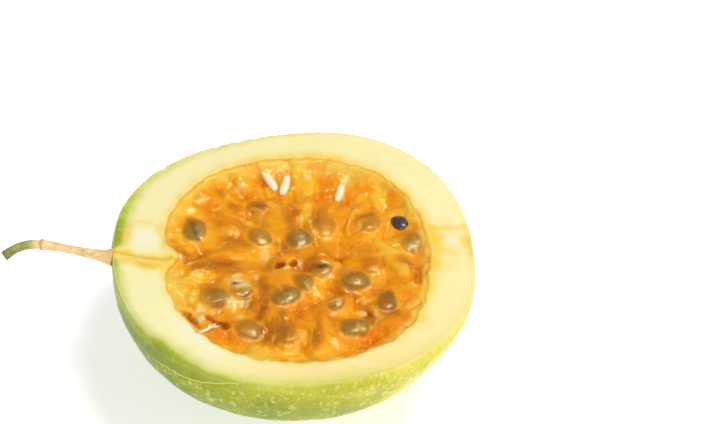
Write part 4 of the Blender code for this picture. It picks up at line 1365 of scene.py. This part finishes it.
def makeOvules(material):
    # Spindle: a ring whose radius is r * (1 - |2t - 1|^3)^0.5 carried along a slightly bent line
    shape = ovules
    rings, lift = shape["rings"], shape["radius"] - shape["sink"]
    tubes = []
    for (x0, y0), (x1, y1) in shape["ends"]:
        z0, z1 = heapHeight(x0, y0) + lift, heapHeight(x1, y1) + lift
        middleX, middleY = (x0 + x1) / 2, (y0 + y1) / 2
        level = max((z0 + z1) / 2, heapHeight(middleX, middleY) + lift)
        route = [(x0, y0, z0, 1), (middleX + shape["bend"], middleY, level, 1), (x1, y1, z1, 1)]
        path = smoothRoute(route, rings)
        share = np.linspace(0.02, 0.98, rings)
        path[:, 3] = shape["radius"] * (1 - np.abs(2 * share - 1) ** 3) ** 0.5 * (0.85 + 0.3 * share)
        grid, centre, ring = tubeGrid(path, rings, shape["sides"])
        tubes.append((grid + shape["uneven"] * noise(grid, 1.0, 83)[..., None] * ring, centre))
    putTubes("ovules", tubes, material)


def makeFibre(material):
    putTubes("wall_fibre", [tubeGrid(route, fibreRings, fibreSides)[:2] for route in fibres], material)


# Stalk

stalkShape = {
    "route": (
        (-39.6, 0.4, -1.0, 1.9), (-40.6, 0.55, -1.0, 1.6), (-41.6, 0.7, -0.9, 1.32), (-44.5, 1.2, -0.6, 1.05),
        (-50.5, 2.4, -0.1, 0.92), (-54.2, 3.1, 0.0, 1.1), (-55.6, 3.2, 0.0, 0.98), (-57.6, 3.2, -0.2, 0.93),
        (-60.0, 2.8, -0.9, 0.96), (-62.3, 1.7, -2.0, 1.05),
    ),
    "rows": 190,
    "sides": 32,
    "furrows": ((0.09, 0.7, 91), (0.054, 0.3, 92)),  # noise: strength, cell, seed
    "smoothFrom": (54, 57),  # distance out from the middle where the furrows get shallower
    "knots": ((0.07, 1.6, 93),),
    "ring": 54.4,
    "ringRise": (0.16, 0.35),  # height and half width of the joint ring, then of the groove beyond it
    "ringGroove": (0.1, 0.3),
    "grooveGap": 0.7,
    "bark": ((0.25, "d4a45e"), (0.5, "fad89c"), (0.75, "fff2c8")),
    "foot": "f0b052",
    "green": ("7a863c", "b2b262"),
    "tip": "8e8450",
    "ringColour": "b07c40",
}


def stalkMaterial():
    shape = stalkShape
    material, wire = newMaterial("stalk", {"Roughness": 0.65, "Specular IOR Level": 0.35})
    place, outward = wire.place(), wire.layer("outward")
    grain = place.stretch((0.18, 1.0, 1.0)).noise(0.35, 3.0)
    blotch = place.noise(2.2, 3.0)
    bark = paintOver((grain * 0.7 + blotch * 0.4 - 0.05).ramp(shape["bark"]), (
        ((1 - outward.rise(38.5, 43.0)) * 0.7, shape["foot"]),
        ((outward + (blotch - 0.5) * 1.8).rise(55.0, 57.8), blotch.rise(0.3, 0.7).mix(*shape["green"])),
        ((outward + (grain - 0.5) * 0.5).rise(60.9, 62.2), shape["tip"]),
        ((1 - abs(outward - shape["ring"]).rise(0.1, 0.5)) * 0.4, shape["ringColour"]),
    ))
    feed(material, {"Base Color": bark, "Normal": grain.bump(0.2, 0.8)})
    return material


def makeStalk():
    # Ring carried along the bent route; its radius has furrows along the stalk, knots and a joint ring
    shape = stalkShape
    grid, centre, ring = tubeGrid(shape["route"], shape["rows"], shape["sides"])
    out = np.repeat(-centre[:, :1], shape["sides"], axis=1)
    turn = np.linspace(0, 2 * pi, shape["sides"], endpoint=False)
    streak = asPoints(out * 0.22, 1.6 * np.cos(turn), 1.6 * np.sin(turn))
    relief = noiseSum(streak, shape["furrows"]) * (1 - 0.6 * smoothStep(out, *shape["smoothFrom"]))
    relief += noiseSum(asPoints(out, 0, 0), shape["knots"])
    (rise, riseWidth), (groove, grooveWidth) = shape["ringRise"], shape["ringGroove"]
    beyondRing = out - shape["ring"]
    relief += rise * bell(beyondRing, riseWidth) - groove * bell(beyondRing - shape["grooveGap"], grooveWidth)
    grid = grid + relief[..., None] * ring
    points, faces = closeEnds(grid[::-1], centre[[-1, 0]])
    values = {"outward": np.append(out[::-1], (-centre[-1, 0], -centre[0, 0]))}
    putMesh("stem", points, [face[::-1] for face in faces], stalkMaterial(), "stalk", values)


# Setting

setting = {
    "floorHalf": 1.5,
    "floorColour": (0.85, 0.85, 0.85, 1),
    "floorGlow": 0.52,
    "world": 0.3,
    "sensorWidth": 36.0,
    "nearest": 0.01,
    "key": {"place": (0.18, 0.02, 0.7), "size": 0.22, "watts": 2.85},
    "fill": {"place": (-0.3, -0.7, 0.4), "size": 0.6, "watts": 1.85},
    "side": {"place": (0.7, -0.25, 0.35), "size": 0.4, "watts": 1.0},
}
plainWhite = (1, 1, 1, 1)


def makeCamera():
    az, el, roll = (radians(view[key]) for key in ("azimuth", "elevation", "roll"))
    back = Vector((sin(az) * cos(el), -cos(az) * cos(el), sin(el)))
    right = Vector((cos(az), sin(az), 0))
    up = back.cross(right)
    rolledRight = right * cos(roll) + up * sin(roll)
    rolledUp = up * cos(roll) - right * sin(roll)
    middle = Vector((0, 0, cutHeight))
    eye = middle + back * view["distance"]
    aim = middle + rolledRight * view["aimRight"] + rolledUp * view["aimUp"]
    axisZ = (eye - aim).normalized()
    axisX = rolledUp.cross(axisZ).normalized()
    axisY = axisZ.cross(axisX)
    camera = bpy.data.objects.new("camera", bpy.data.cameras.new("camera"))
    camera.matrix_world = Matrix.Translation(eye * mm) @ Matrix((axisX, axisY, axisZ)).transposed().to_4x4()
    camera.data.lens = view["lens"]
    camera.data.sensor_width = setting["sensorWidth"]
    camera.data.clip_start = setting["nearest"]
    bpy.context.scene.collection.objects.link(camera)
    bpy.context.scene.camera = camera
    print("camera placed")


def makeLight(name, values):
    light = bpy.data.lights.new(name, "AREA")
    light.shape = "SQUARE"
    light.size = values["size"]
    light.energy = values["watts"]
    lamp = bpy.data.objects.new(name, light)
    lamp.location = values["place"]
    aim = Vector((0, 0, cutHeight * mm)) - lamp.location
    lamp.rotation_euler = aim.to_track_quat("-Z", "Y").to_euler()
    bpy.context.scene.collection.objects.link(lamp)


def makeSetting():
    half = setting["floorHalf"]
    corners = [(-half, -half, 0), (half, -half, 0), (half, half, 0), (-half, half, 0)]
    mesh = bpy.data.meshes.new("floor")
    mesh.from_pydata(corners, [], [(0, 1, 2, 3)])
    floor = bpy.data.objects.new("floor", mesh)
    bpy.context.scene.collection.objects.link(floor)
    material, wire = newMaterial("floor", {
        "Base Color": setting["floorColour"],
        "Roughness": 0.9,
        "Specular IOR Level": 0.1,
        "Emission Color": plainWhite,
        "Emission Strength": setting["floorGlow"],
    })
    mesh.materials.append(material)
    world = bpy.data.worlds.new("studio")
    world.use_nodes = True
    background = world.node_tree.nodes["Background"]
    background.inputs["Color"].default_value = plainWhite
    background.inputs["Strength"].default_value = setting["world"]
    bpy.context.scene.world = world
    for name in ("key", "fill", "side"):
        makeLight(name, setting[name])
    bpy.context.scene.view_settings.view_transform = "Standard"
    print("floor and lights placed")


makeCamera()
makeSetting()
makeRind()
makePulp()
makeLooseSeed()
cream = ovuleMaterial()
makeOvules(cream)
makeFibre(cream)
makeStalk()
